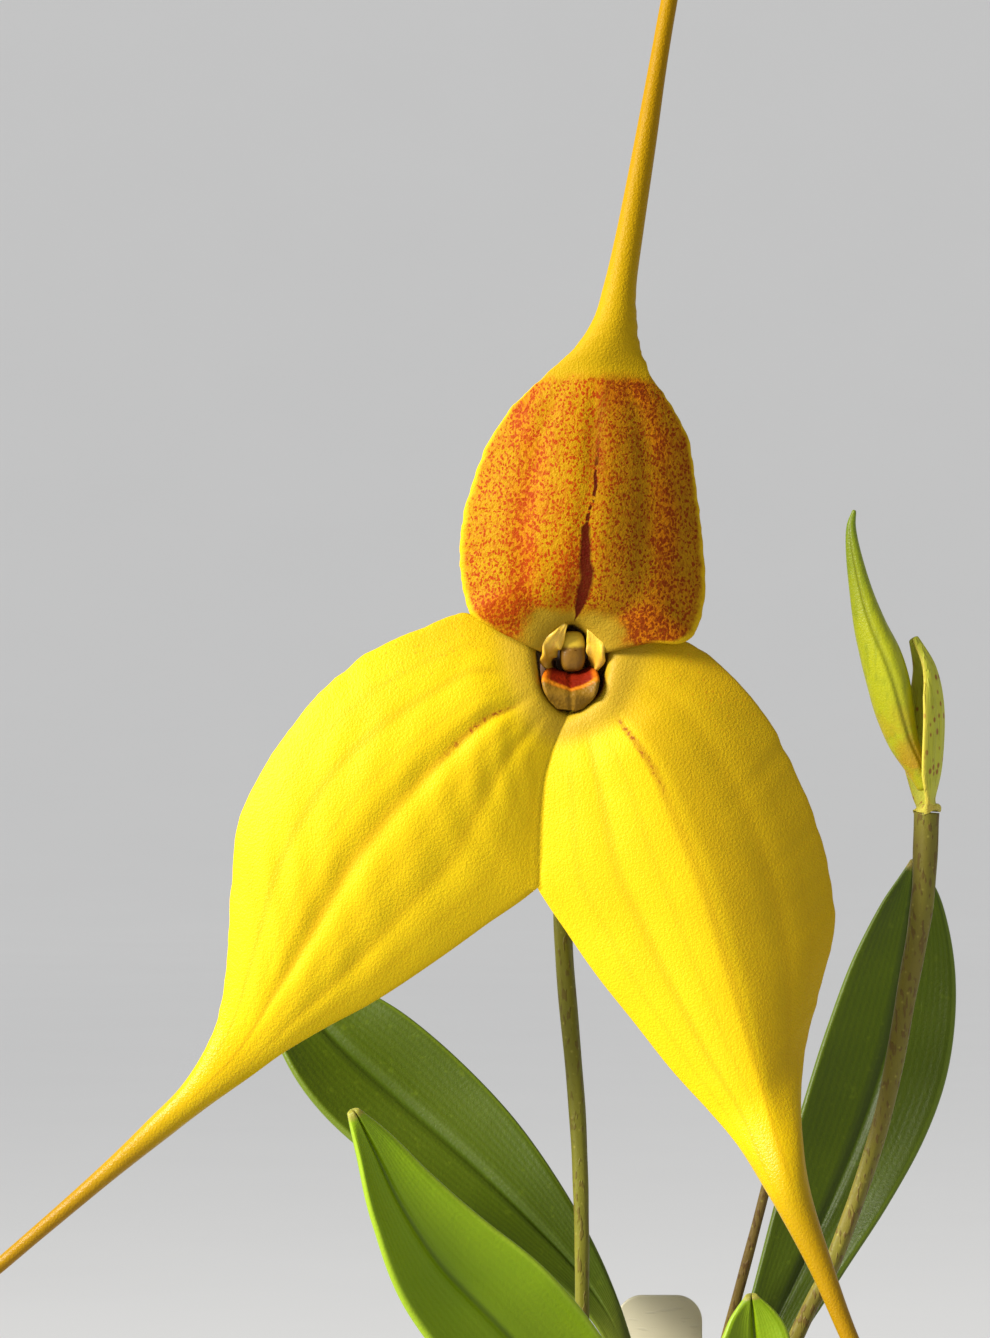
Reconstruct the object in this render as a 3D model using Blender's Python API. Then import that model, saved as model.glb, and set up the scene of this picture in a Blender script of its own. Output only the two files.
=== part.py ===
"""A flowering masdevallia orchid in a small clay pot.

One open bloom of three long-tailed sepals, a bud on its own stalk, strap leaves,
potting mix, a blank plant label and the pot. The origin is the centre of the pot's
underside, +Z is up and the bloom faces -Y. Lengths below are millimetres.
"""
import math
import random

import bmesh
import bpy
import numpy as np
from mathutils import Matrix, Vector

MM = 0.001
GAP = 0.3                       # clearance between neighbouring pieces

# The pot
POT_HEIGHT = 62.0
POT_TOP_RADIUS = 38.0
POT_FOOT_RADIUS = 27.0
POT_WALL = 3.2
POT_FLOOR = 6.0
RIM_HEIGHT = 15.0
RIM_STEP = 2.4                  # how far the rim band stands out from the wall
DRAIN_RADIUS = 3.0
DRAIN_RING = 15.0
DRAIN_COUNT = 4
POT_SIDES = 48

# The potting mix
MIX_TOP = 55.0
MIX_RELIEF = 0.9
HOLE_DEPTH = 8.0
HOLE_SLACK = 0.5                # room round a stem in its hole
HOLE_REACH = 9.0                # how far a cutter stands up out of the mix
STEM_FOOT = MIX_TOP - HOLE_DEPTH + GAP
STEM_STRAIGHT = MIX_TOP + 1.5   # a leaning stem stands straight up to here
MIX_RINGS = 8
MIX_SIDES = 36

# The bloom: the middle of its mouth, and its tissue
BLOOM = np.array([-9.8, -22.0, 160.1])
SEPAL_THICKNESS = 0.8
SEPAL_RIM = 0.65
GROOVE_DEPTH = 0.45
GROOVE_WIDTH = 0.09
SIDE_GROOVE = 0.5               # where the side grooves run, as a share of the half width
SEPAL_COLUMNS = (-1.0, -0.74, -0.5, -0.24, 0.0, 0.24, 0.5, 0.74, 1.0)

# Leaves
LEAF_THICKNESS = 1.0
LEAF_RIM = 0.7
LEAF_COLUMNS = (-1.0, -0.6, -0.18, 0.0, 0.18, 0.6, 1.0)

# Round pieces
STALK_SIDES = 10
ROUND_SHARE = 0.96              # how far round a section closes before its side wall

# The sepals as stations (first edge, middle, second edge), each (right, back, up) of the mouth
DORSAL = (
    ((-2.8, 12.0, 1.0), (0.0, 12.0, 3.6), (2.8, 12.0, 1.0)),
    ((-3.8, 6.0, 1.9), (0.0, 6.0, 4.9), (3.9, 6.0, 1.6)),
    ((-4.6, 1.8, 3.1), (0.2, 1.8, 5.5), (4.8, 1.8, 2.6)),
    ((-7.6, 0.3, 4.3), (0.5, -0.3, 6.9), (8.2, 0.3, 2.9)),
    ((-10.7, 0.3, 5.4), (0.9, -1.6, 9.0), (12.3, 0.2, 2.6)),
    ((-11.8, 1.2, 7.4), (1.2, -2.3, 11.6), (14.3, 1.2, 4.6)),
    ((-12.4, 1.6, 11.2), (1.5, -2.6, 14.6), (15.0, 1.8, 9.0)),
    ((-12.2, 1.6, 15.6), (2.0, -2.6, 18.2), (14.7, 1.8, 14.4)),
    ((-11.1, 1.5, 20.2), (2.3, -2.3, 21.9), (14.0, 1.6, 19.8)),
    ((-9.3, 1.2, 24.8), (2.5, -1.9, 25.8), (13.1, 1.3, 25.2)),
    ((-6.4, 0.9, 29.0), (2.6, -1.3, 29.6), (11.1, 0.9, 29.2)),
    ((-3.2, 0.7, 32.1), (2.9, -0.7, 32.6), (9.0, 0.7, 32.1)),
    ((0.2, 0.6, 35.1), (4.0, -0.2, 35.4), (7.8, 0.6, 35.1)),
    ((2.5, 0.7, 38.4), (4.8, 0.2, 38.4), (7.2, 0.7, 38.4)),
    ((3.6, 0.9, 42.0), (5.4, 0.7, 42.0), (7.2, 0.9, 42.0)),
    ((5.0, 1.4, 48.0), (6.5, 1.3, 48.0), (8.0, 1.4, 48.0)),
    ((6.9, 2.1, 57.5), (8.1, 2.1, 57.5), (9.4, 2.1, 57.5)),
    ((8.8, 2.9, 67.5), (9.8, 2.9, 67.5), (10.8, 2.9, 67.5)),
    ((10.7, 3.6, 77.5), (11.6, 3.6, 77.5), (12.5, 3.6, 77.5)),
    ((12.9, 4.2, 87.5), (13.6, 4.2, 87.5), (14.3, 4.2, 87.5)),
    ((15.5, 4.6, 97.0), (15.9, 4.6, 97.0), (16.3, 4.6, 97.0)),
)
DORSAL_TAIL = (11, 14)          # stations over which the blade rolls up into its tail

# The seam under the lip, where the two lateral sepals have grown together
SEAM = (
    (-0.1, 12.0, -3.6),
    (-0.2, 6.0, -5.0),
    (-0.6, 2.0, -5.9),
    (-1.9, 1.2, -8.4),
    (-3.0, 1.0, -12.0),
    (-3.4, 1.2, -16.0),
    (-3.6, 1.5, -20.2),
    (-3.7, 1.8, -24.2),
)
# Past the seam a station also gives its inner edge
LEFT_LATERAL = (
    ((-3.2, 12.0, 0.5), (-2.9, 12.0, -1.9)),
    ((-4.5, 6.0, 1.2), (-3.8, 6.0, -2.7)),
    ((-5.4, 2.7, 2.6), (-4.5, 1.8, -2.9)),
    ((-8.2, 2.3, 4.5), (-6.4, 0.3, -4.2)),
    ((-11.9, 2.7, 6.2), (-9.4, -0.8, -5.6)),
    ((-17.2, 2.4, 4.3), (-12.8, -1.3, -8.5)),
    ((-23.2, 2.2, 1.3), (-16.6, -1.5, -12.3)),
    ((-28.4, 2.2, -3.2), (-20.4, -1.4, -16.5)),
    ((-33.4, 2.4, -10.0), (-24.5, -1.0, -21.9), (-9.6, 1.8, -28.7)),
    ((-36.7, 2.8, -16.3), (-27.4, -0.3, -26.9), (-15.6, 2.0, -33.0)),
    ((-37.6, 3.2, -23.1), (-30.1, 0.5, -31.6), (-21.5, 2.4, -36.9)),
    ((-38.0, 3.6, -30.0), (-32.9, 1.5, -36.2), (-27.0, 2.9, -39.9)),
    ((-38.6, 4.0, -36.0), (-35.3, 2.7, -40.2), (-31.5, 3.6, -42.6)),
    ((-40.0, 4.6, -41.0), (-37.9, 3.9, -43.7), (-35.3, 4.4, -45.3)),
    ((-43.0, 5.5, -46.1), (-41.8, 5.2, -47.6), (-40.3, 5.4, -48.8)),
    ((-47.0, 6.6, -50.3), (-46.1, 6.5, -51.4), (-45.1, 6.6, -52.5)),
    ((-52.2, 8.0, -55.4), (-51.5, 8.0, -56.2), (-50.8, 8.0, -57.0)),
    ((-59.7, 9.8, -62.2), (-59.1, 9.8, -62.8), (-58.5, 9.8, -63.4)),
    ((-67.5, 11.4, -68.9), (-67.0, 11.4, -69.5), (-66.5, 11.4, -70.1)),
    ((-76.1, 12.8, -75.4), (-75.7, 12.8, -76.0), (-75.3, 12.8, -76.6)),
    ((-84.8, 13.8, -81.2), (-84.5, 13.8, -81.6), (-84.2, 13.8, -82.0)),
)
RIGHT_LATERAL = (
    ((3.2, 12.0, 0.5), (2.9, 12.0, -1.9)),
    ((4.6, 6.0, 0.9), (3.8, 6.0, -2.7)),
    ((5.6, 2.7, 2.1), (4.2, 1.8, -3.3)),
    ((9.0, 2.3, 3.2), (5.4, 0.2, -6.0)),
    ((13.4, 2.9, 2.9), (7.3, -1.0, -8.4)),
    ((17.9, 3.2, -0.6), (9.3, -1.7, -11.6)),
    ((21.7, 3.6, -5.2), (11.2, -2.2, -16.0)),
    ((24.7, 3.9, -10.8), (13.3, -2.5, -20.8)),
    ((27.1, 4.0, -16.3), (15.1, -2.7, -25.8), (-0.5, 1.6, -29.3)),
    ((28.8, 4.0, -22.5), (16.7, -2.8, -31.1), (2.8, 1.3, -34.0)),
    ((29.4, 3.7, -28.5), (18.3, -2.9, -36.3), (6.8, 0.9, -39.0)),
    ((28.1, 3.0, -34.0), (19.7, -3.0, -41.4), (10.9, 0.3, -44.2)),
    ((26.5, 1.7, -39.6), (21.0, -3.2, -46.0), (15.0, -0.6, -48.7)),
    ((25.4, 0.0, -45.2), (22.1, -3.4, -50.6), (18.3, -1.6, -52.5)),
    ((25.1, -1.7, -50.6), (23.3, -3.8, -54.8), (21.0, -2.9, -56.6)),
    ((26.1, -3.6, -57.2), (24.8, -4.4, -59.4), (23.1, -4.1, -60.3)),
    ((28.6, -5.3, -65.4), (27.4, -5.5, -65.8), (26.2, -5.4, -66.2)),
    ((31.5, -6.8, -73.4), (30.6, -6.8, -73.7), (29.7, -6.8, -74.0)),
    ((35.4, -8.2, -81.6), (34.7, -8.2, -82.0), (34.0, -8.2, -82.4)),
    ((40.2, -9.4, -88.8), (39.7, -9.4, -89.3), (39.2, -9.4, -89.8)),
    ((46.1, -10.4, -94.7), (45.8, -10.4, -95.1), (45.5, -10.4, -95.5)),
)
LATERAL_TAIL = (12, 16)

# Inside the mouth, again (right, back, up) of its middle
LIP_PATH = ((0.0, 12.2, -1.5), (0.0, 7.0, -2.3), (0.0, 3.4, -2.3), (0.0, 1.5, -2.5),
            (0.0, 0.7, -3.4), (0.0, 1.0, -4.7))
LIP_HALF_WIDTHS = (0.9, 1.7, 2.5, 2.9, 2.8, 2.3)
LIP_DISH = (0.1, 0.35, 0.55, 0.55, 0.3, 0.1)
LIP_THICKNESS = 0.7
PETAL_PATH = ((1.9, 12.2, 0.5), (2.4, 7.0, 0.9), (2.6, 3.6, 1.9), (2.2, 1.7, 3.1), (1.3, 1.0, 4.7))
PETAL_HALF_WIDTHS = (0.6, 1.0, 1.25, 1.1, 0.35)
PETAL_THICKNESS = 0.6
COLUMN_PATH = ((0.0, 12.2, 0.6), (0.1, 8.0, 0.8), (0.2, 4.5, 1.2), (0.2, 2.7, 1.6), (0.2, 1.9, 2.2))
COLUMN_RADII = (0.9, 1.0, 1.25, 1.3, 0.8)
OVARY_PATH = ((0.0, 12.6, 0.0), (0.0, 13.3, 0.0), (0.0, 14.2, 0.0), (0.0, 15.3, -0.3),
              (-0.1, 16.8, -1.9), (-0.4, 17.9, -6.0), (-0.6, 18.2, -12.2))
OVARY_RADII = (3.9, 3.6, 2.6, 2.0, 1.75, 1.45, 1.05)

# Stalks and the bud, in the plant's own frame
BLOOM_STALK = ((-8.1, -7.0, STEM_FOOT), (-8.3, -7.0, 86.5), (-8.4, -6.8, 98.6), (-8.9, -6.0, 110.5),
               (-10.3, -4.6, 127.1), (-10.6, -3.9, 137.5), (-10.4, -3.8, 144.6))
BLOOM_STALK_RADII = (0.75, 0.8, 0.85, 0.95, 1.05, 1.0, 1.15)
BLOOM_BRACT_PATH = ((-10.4, -3.8, 145.0), (-10.4, -3.6, 145.9), (-10.4, -2.2, 147.4), (-10.4, -1.4, 150.6),
                    (-10.0, -0.5, 155.2))
BLOOM_BRACT_HALF_WIDTHS = (1.15, 1.2, 1.4, 1.8, 0.5)
BUD_STALK = ((5.6, -4.6, STEM_FOOT), (5.6, -4.6, STEM_STRAIGHT), (8.6, -5.0, 66.0),
             (12.7, -6.0, 77.4), (16.9, -7.0, 87.1), (20.3, -8.0, 94.3), (25.3, -9.0, 109.4),
             (28.2, -9.5, 124.4), (29.8, -10.0, 134.1), (30.3, -10.0, 143.9))
BUD_STALK_RADII = (0.8, 0.8, 0.85, 0.85, 0.9, 0.95, 1.0, 1.15, 1.3, 1.45)
BUD_BRACT_PATH = ((30.3, -10.0, 144.3), (30.4, -10.0, 145.4), (31.2, -10.0, 149.4), (31.5, -10.0, 155.4),
                  (30.7, -10.0, 159.8), (28.7, -10.0, 163.2))
BRACT_HALF_WIDTHS = (1.4, 2.0, 2.75, 2.55, 1.7, 0.4)
BUD_PATH = ((29.9, -10.2, 146.8), (29.0, -10.3, 149.2), (27.7, -10.5, 152.1), (26.8, -10.7, 155.4),
            (26.1, -11.0, 158.6), (25.2, -11.3, 161.6), (24.0, -11.6, 164.8), (22.9, -11.8, 168.7),
            (22.0, -12.0, 173.0), (21.7, -12.0, 175.8), (22.0, -12.0, 177.6))
BUD_RADII = (0.8, 1.25, 1.75, 2.2, 2.4, 2.3, 1.85, 1.3, 0.85, 0.55, 0.25)
BUD_SIDES = 18
BUD_RIDGE = 0.09                # the three sepals' ridges along the bud
OLD_STALK = ((1.8, 9.2, STEM_FOOT), (1.8, 9.2, STEM_STRAIGHT), (3.8, 8.0, 65.0), (6.6, 6.2, 76.0),
             (9.6, 4.6, 87.6), (12.6, 4.0, 99.2), (15.4, 4.0, 111.0))
OLD_STALK_RADII = (0.7, 0.7, 0.65, 0.6, 0.6, 0.55, 0.5)

# Leaves: middle line, half widths, how the face looks at its foot and at its tip, and its fold
LEAVES = {
    "leaf_back_left": (
        ((0.7, 2.0, STEM_FOOT), (-0.6, 2.0, 70.7), (-3.8, 2.0, 82.7), (-7.8, 3.0, 90.0),
         (-13.6, 5.0, 96.4), (-21.0, 8.0, 103.3), (-28.9, 11.0, 110.0), (-35.6, 13.0, 115.9),
         (-40.9, 15.0, 121.3), (-44.5, 16.0, 125.0)),
        (1.3, 1.2, 1.4, 2.6, 4.8, 6.8, 7.7, 7.2, 4.7, 0.5),
        (0.3, -1.0, 0.2), (0.2, -1.0, 0.35), 0.22),
    "leaf_front_left": (
        ((-1.3, -10.0, STEM_FOOT), (-1.3, -10.0, STEM_STRAIGHT), (-3.0, -11.4, 65.0),
         (-5.9, -14.0, 72.4), (-10.9, -17.0, 80.0), (-17.6, -20.0, 87.6), (-23.9, -22.0, 94.4),
         (-28.3, -24.0, 101.2), (-31.3, -25.0, 107.4), (-33.3, -26.0, 111.5)),
        (1.2, 1.2, 1.8, 3.8, 6.4, 7.4, 6.4, 4.4, 2.3, 0.5),
        (0.2, -1.0, 0.1), (0.25, -1.0, 0.4), 0.38),
    "leaf_right": (
        ((6.2, 4.2, STEM_FOOT), (7.2, 4.4, 62.2), (9.4, 5.0, 73.7), (13.7, 6.0, 83.9),
         (17.8, 8.0, 92.3), (21.6, 10.0, 100.2), (25.0, 12.0, 108.2), (27.6, 13.0, 116.2),
         (29.5, 14.0, 124.9), (30.5, 14.0, 132.5), (30.7, 14.0, 137.5)),
        (1.3, 1.2, 1.7, 3.2, 4.8, 6.3, 7.2, 7.2, 6.0, 3.5, 0.5),
        (-0.2, -1.0, 0.1), (-0.15, -1.0, 0.1), 0.18),
    "leaf_small": (
        ((7.8, -10.6, STEM_FOOT), (7.8, -10.6, STEM_STRAIGHT), (8.4, -11.2, 63.4),
         (9.5, -12.0, 71.0), (10.5, -13.0, 78.4), (10.8, -14.0, 84.1), (10.6, -14.4, 87.4),
         (10.4, -14.6, 90.0)),
        (1.1, 1.1, 1.6, 3.5, 4.5, 3.9, 2.6, 0.5),
        (0.0, -1.0, 0.1), (-0.1, -1.0, 0.2), 0.4),
    "leaf_low_right": (
        ((12.6, -2.6, STEM_FOOT), (12.6, -2.6, STEM_STRAIGHT), (15.4, -3.2, 62.0), (21.0, -4.8, 70.0),
         (29.0, -6.8, 76.0), (37.0, -8.8, 76.6), (44.0, -10.6, 73.0)),
        (1.2, 1.2, 1.5, 3.4, 5.9, 5.2, 0.5),
        (-0.6, 0.0, 0.8), (0.0, 0.0, 1.0), 0.3),
    "leaf_low_front": (
        ((-9.6, -13.2, STEM_FOOT), (-9.6, -13.2, STEM_STRAIGHT), (-12.6, -15.8, 61.0),
         (-19.0, -20.6, 66.0), (-27.0, -25.8, 70.0), (-34.5, -30.2, 68.6), (-40.5, -33.4, 64.0)),
        (1.2, 1.2, 1.5, 3.0, 5.4, 4.8, 0.5),
        (0.5, 0.3, 0.8), (0.0, 0.0, 1.0), 0.3),
    "leaf_low_back": (
        ((-7.2, 8.0, STEM_FOOT), (-7.2, 8.0, STEM_STRAIGHT), (-9.2, 11.6, 62.0), (-13.0, 17.8, 69.0),
         (-18.6, 26.0, 75.4), (-24.6, 34.2, 75.8), (-30.0, 41.4, 71.4)),
        (1.2, 1.2, 1.5, 3.5, 6.0, 5.6, 0.5),
        (0.3, -0.6, 0.8), (0.0, 0.0, 1.0), 0.3),
    "leaf_low_back_right": (
        ((9.4, 11.6, STEM_FOOT), (9.4, 11.6, STEM_STRAIGHT), (11.4, 14.6, 62.0), (15.4, 21.0, 71.0),
         (20.4, 29.0, 76.4), (25.4, 37.0, 75.8), (29.6, 43.6, 70.4)),
        (1.2, 1.2, 1.5, 3.4, 5.8, 5.4, 0.5),
        (-0.3, -0.6, 0.8), (0.0, 0.0, 1.0), 0.3),
}
LEAF_ROLL = (1, 3)              # stations over which the round stem opens into the blade

# The label
LABEL_WIDTH = 10.0
LABEL_THICKNESS = 0.9
LABEL_TOP = 87.0
LABEL_PLACE = (1.0, 14.0)
LABEL_CORNER = 3.0
LABEL_CORNER_STEPS = 4

COLOURS = {
    "dorsal_sepal": ((0.72, 0.33, 0.01), 0.55),
    "lateral_sepals": ((0.88, 0.62, 0.01), 0.5),
    "petal": ((0.85, 0.42, 0.02), 0.5),
    "lip": ((0.32, 0.02, 0.005), 0.4),
    "column": ((0.62, 0.3, 0.03), 0.45),
    "ovary": ((0.42, 0.36, 0.03), 0.5),
    "bud": ((0.5, 0.52, 0.02), 0.5),
    "bract": ((0.7, 0.62, 0.22), 0.65),
    "stalk": ((0.2, 0.17, 0.02), 0.55),
    "leaf": ((0.1, 0.22, 0.005), 0.35),
    "label": ((0.72, 0.7, 0.58), 0.5),
    "mix": ((0.16, 0.09, 0.05), 0.95),
    "pot": ((0.5, 0.2, 0.1), 0.85),
}


def finish(name):
    """One Principled material for each kind of tissue or ware."""
    found = bpy.data.materials.get(name)
    if found:
        return found
    colour, roughness = COLOURS[name]
    made = bpy.data.materials.new(name)
    made.use_nodes = True
    shader = made.node_tree.nodes["Principled BSDF"]
    shader.inputs["Base Color"].default_value = (*colour, 1.0)
    shader.inputs["Roughness"].default_value = roughness
    shader.inputs["Metallic"].default_value = 0.0
    return made


def keep(name, mesh_data, kind):
    """Put a finished bmesh into the scene as one smooth-shaded object."""
    bmesh.ops.scale(mesh_data, vec=(MM, MM, MM), verts=mesh_data.verts)
    mesh = bpy.data.meshes.new(name)
    mesh_data.to_mesh(mesh)
    mesh_data.free()
    mesh.shade_smooth()
    mesh.materials.append(finish(kind))
    made = bpy.data.objects.new(name, mesh)
    bpy.context.collection.objects.link(made)
    return made


def curve(points, at):
    """Smooth curve through points, read at station numbers such as 2.5."""
    points = np.asarray(points, dtype=float)
    padded = np.vstack([2 * points[0] - points[1], points, 2 * points[-1] - points[-2]])
    read = []
    for value in at:
        start = min(int(value), len(points) - 2)
        share = value - start
        before, near, far, after = padded[start:start + 4]
        read.append(0.5 * (2 * near + (far - before) * share
                           + (2 * before - 5 * near + 4 * far - after) * share ** 2
                           + (3 * near - before - 3 * far + after) * share ** 3))
    return np.array(read)


def unit(rows):
    """Rows of vectors scaled to length one."""
    rows = np.asarray(rows, dtype=float)
    return rows / np.linalg.norm(rows, axis=-1, keepdims=True)


def smooth_step(value, low, high):
    """0 below low, 1 above high, with a soft change between."""
    share = min(max((value - low) / (high - low), 0.0), 1.0)
    return share * share * (3 - 2 * share)


def blade_front(first, middle, second, columns):
    """The front skin: a shallow arc across each station through its three points."""
    across = np.asarray(columns)[None, :, None]
    slope = (second - first)[:, None, :] / 2
    bow = ((first + second) / 2 - middle)[:, None, :]
    return middle[:, None, :] + across * slope + across ** 2 * bow


def skin_normals(front):
    """Unit normals of a skin that looks out of its front."""
    along = np.gradient(front, axis=0)
    across = np.gradient(front, axis=1)
    return unit(np.cross(across, along))


def add_blade(mesh_data, front, back, open_first=0, open_last=0):
    """Close a blade: both skins split alike, side walls past the open rows, both ends."""
    rows, columns = front.shape[:2]
    face = [[mesh_data.verts.new(point) for point in row] for row in front]
    rear = [[mesh_data.verts.new(point) for point in row] for row in back]

    def triangles(a, b, c, d):
        mesh_data.faces.new((a, b, c))
        mesh_data.faces.new((a, c, d))

    for i in range(rows - 1):
        for j in range(columns - 1):
            triangles(face[i][j], face[i][j + 1], face[i + 1][j + 1], face[i + 1][j])
            mesh_data.faces.new((rear[i][j], rear[i + 1][j + 1], rear[i][j + 1]))
            mesh_data.faces.new((rear[i][j], rear[i + 1][j], rear[i + 1][j + 1]))
        if i >= open_first:
            triangles(face[i][0], face[i + 1][0], rear[i + 1][0], rear[i][0])
        if i >= open_last:
            triangles(face[i + 1][-1], face[i][-1], rear[i][-1], rear[i + 1][-1])
    for j in range(columns - 1):
        triangles(face[0][j + 1], face[0][j], rear[0][j], rear[0][j + 1])
        triangles(face[-1][j], face[-1][j + 1], rear[-1][j + 1], rear[-1][j])


def round_sections(front, back, normals, columns, roundness):
    """Roll each station by its roundness, from a flat section to a rod as wide as it."""
    across = np.asarray(columns) * ROUND_SHARE
    height = np.sqrt(1 - across ** 2)
    first, second = front[:, 0], front[:, -1]
    centre = (first + second) / 2
    radius = np.linalg.norm(second - first, axis=1)[:, None, None] / 2
    side = unit(second - first)
    middle = len(columns) // 2
    facing = normals[:, middle] - side * np.sum(normals[:, middle] * side, axis=1)[:, None]
    facing = unit(facing)
    spread = centre[:, None] + radius * across[None, :, None] * side[:, None]
    rise = radius * height[None, :, None] * facing[:, None]
    share = np.asarray(roundness)[:, None, None]
    return front * (1 - share) + (spread + rise) * share, back * (1 - share) + (spread - rise) * share


def grooves(columns):
    """Depth of the three lengthwise grooves at each column."""
    across = np.asarray(columns)
    depth = np.zeros_like(across)
    for place, share in ((0.0, 1.0), (-SIDE_GROOVE, 0.6), (SIDE_GROOVE, 0.6)):
        depth += share * np.exp(-((across - place) / GROOVE_WIDTH) ** 2)
    return depth * GROOVE_DEPTH


def station_reads(count, tail):
    """Two rows for each station of the blade, one for each of the tail."""
    return [i / 2 for i in range(2 * tail)] + list(range(tail, count))


def sepal_skins(first, middle, second, reads, tail):
    """Front and back skins of a sepal, grooved on its blade and rolled in its tail."""
    front = blade_front(curve(first, reads), curve(middle, reads), curve(second, reads), SEPAL_COLUMNS)
    normals = skin_normals(front)
    roundness = np.array([smooth_step(value, *tail) for value in reads])
    flatness = np.array([smooth_step(value, 2.0, 4.0) for value in reads]) * (1 - roundness)
    front = front - normals * (flatness[:, None] * grooves(SEPAL_COLUMNS)[None, :])[:, :, None]
    return front, normals, roundness


def sepal_thickness(columns):
    """Thickness at each column, thinner at the rim."""
    across = np.abs(np.asarray(columns))
    return SEPAL_THICKNESS - (SEPAL_THICKNESS - SEPAL_RIM) * across ** 4


def dorsal_sepal():
    """The hood and its upright tail."""
    first, middle, second = (np.array([row[k] for row in DORSAL]) for k in range(3))
    reads = station_reads(len(DORSAL), DORSAL_TAIL[1])
    front, normals, roundness = sepal_skins(first, middle, second, reads, DORSAL_TAIL)
    back = front - normals * sepal_thickness(SEPAL_COLUMNS)[None, :, None]
    front, back = round_sections(front, back, normals, SEPAL_COLUMNS, roundness)
    mesh_data = bmesh.new()
    add_blade(mesh_data, front + BLOOM, back + BLOOM)
    return keep("dorsal_sepal", mesh_data, "dorsal_sepal")


def lateral_lines(table):
    """Outer edge, middle line and inner edge of a lateral sepal, the seam included."""
    outer = np.array([row[0] for row in table])
    middle = np.array([row[1] for row in table])
    inner = np.array(list(SEAM) + [row[2] for row in table[len(SEAM):]])
    return outer, middle, inner


def lateral_sepals():
    """The two lower sepals, grown together down to the notch between them."""
    reads = station_reads(len(LEFT_LATERAL), LATERAL_TAIL[1])
    fused = 2 * (len(SEAM) - 1)
    outer, middle, inner = lateral_lines(LEFT_LATERAL)
    left, left_normals, roundness = sepal_skins(inner, middle, outer, reads, LATERAL_TAIL)
    outer, middle, inner = lateral_lines(RIGHT_LATERAL)
    right, right_normals, roundness = sepal_skins(outer, middle, inner, reads, LATERAL_TAIL)
    shared = (left[:fused + 1, 0] + right[:fused + 1, -1]) / 2
    shared_normals = unit(left_normals[:fused + 1, 0] + right_normals[:fused + 1, -1])
    left[:fused + 1, 0] = shared
    right[:fused + 1, -1] = shared
    left_normals[:fused + 1, 0] = shared_normals
    right_normals[:fused + 1, -1] = shared_normals
    mesh_data = bmesh.new()
    for front, normals, open_rows in ((left, left_normals, (fused, 0)), (right, right_normals, (0, fused))):
        back = front - normals * sepal_thickness(SEPAL_COLUMNS)[None, :, None]
        front, back = round_sections(front, back, normals, SEPAL_COLUMNS, roundness)
        add_blade(mesh_data, front + BLOOM, back + BLOOM, *open_rows)
    bmesh.ops.remove_doubles(mesh_data, verts=mesh_data.verts, dist=1e-5)
    return keep("lateral_sepals", mesh_data, "lateral_sepals")


def strap(name, kind, path, half_widths, facings, fold, thickness, rim, rolls, steps=2):
    """A leaf, bract or petal: its middle line, its width, and the way its face looks."""
    count = len(path)
    reads = [i / steps for i in range(steps * (count - 1) + 1)]
    middle = curve(path, reads)
    widths = np.clip(curve([(w, 0, 0) for w in half_widths], reads)[:, 0], min(half_widths), None)
    folds = np.interp(reads, np.linspace(0, count - 1, len(fold)), fold)
    along = unit(np.gradient(middle, axis=0))
    share = (np.array(reads) / (count - 1))[:, None]
    facing = np.array(facings[0]) * (1 - share) + np.array(facings[1]) * share
    facing = unit(facing - along * np.sum(facing * along, axis=1)[:, None])
    side = np.cross(along, facing)
    lift = facing * (folds * widths)[:, None]
    front = blade_front(middle - side * widths[:, None] + lift, middle,
                        middle + side * widths[:, None] + lift, LEAF_COLUMNS)
    normals = skin_normals(front)
    across = np.abs(np.asarray(LEAF_COLUMNS))
    back = front - normals * (thickness - (thickness - rim) * across ** 4)[None, :, None]
    roundness = [rolls(value) for value in reads]
    front, back = round_sections(front, back, normals, LEAF_COLUMNS, roundness)
    mesh_data = bmesh.new()
    add_blade(mesh_data, front, back)
    return keep(name, mesh_data, kind)


def leaves():
    """Every leaf on its own round stem."""
    for name, (path, half_widths, foot_facing, tip_facing, fold) in LEAVES.items():
        strap(name, "leaf", path, half_widths, (foot_facing, tip_facing), (0.0, fold, fold, fold * 0.6),
              LEAF_THICKNESS, LEAF_RIM, lambda value: 1 - smooth_step(value, *LEAF_ROLL))


def rod(name, kind, path, radii, sides=STALK_SIDES, steps=2, ridge=0.0):
    """A round stem or body along a path, its radius given at each point."""
    reads = [i / steps for i in range(steps * (len(path) - 1) + 1)]
    centres = curve(path, reads)
    sizes = np.clip(curve([(r, 0, 0) for r in radii], reads)[:, 0], min(radii), None)
    along = unit(np.gradient(centres, axis=0))
    reference = np.array((0.0, 1.0, 0.0)) if abs(along[0][1]) < 0.7 else np.array((0.0, 0.0, 1.0))
    mesh_data = bmesh.new()
    rings = []
    for centre, size, direction in zip(centres, sizes, along):
        reach = unit(np.cross(direction, reference))
        rise = np.cross(direction, reach)
        ring = []
        for i in range(sides):
            angle = 2 * math.pi * i / sides
            radius = size * (1 + ridge * math.cos(3 * angle))
            place = centre + radius * (math.cos(angle) * reach + math.sin(angle) * rise)
            ring.append(mesh_data.verts.new(place))
        rings.append(ring)
    for low, high in zip(rings, rings[1:]):
        for i in range(sides):
            j = (i + 1) % sides
            mesh_data.faces.new((low[i], low[j], high[j], high[i]))
    mesh_data.faces.new(rings[0][::-1])
    mesh_data.faces.new(rings[-1])
    return keep(name, mesh_data, kind)


def bloom_places(points):
    """Points of the mouth's own frame put into the plant's frame."""
    return [tuple(np.array(point) + BLOOM) for point in points]


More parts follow.
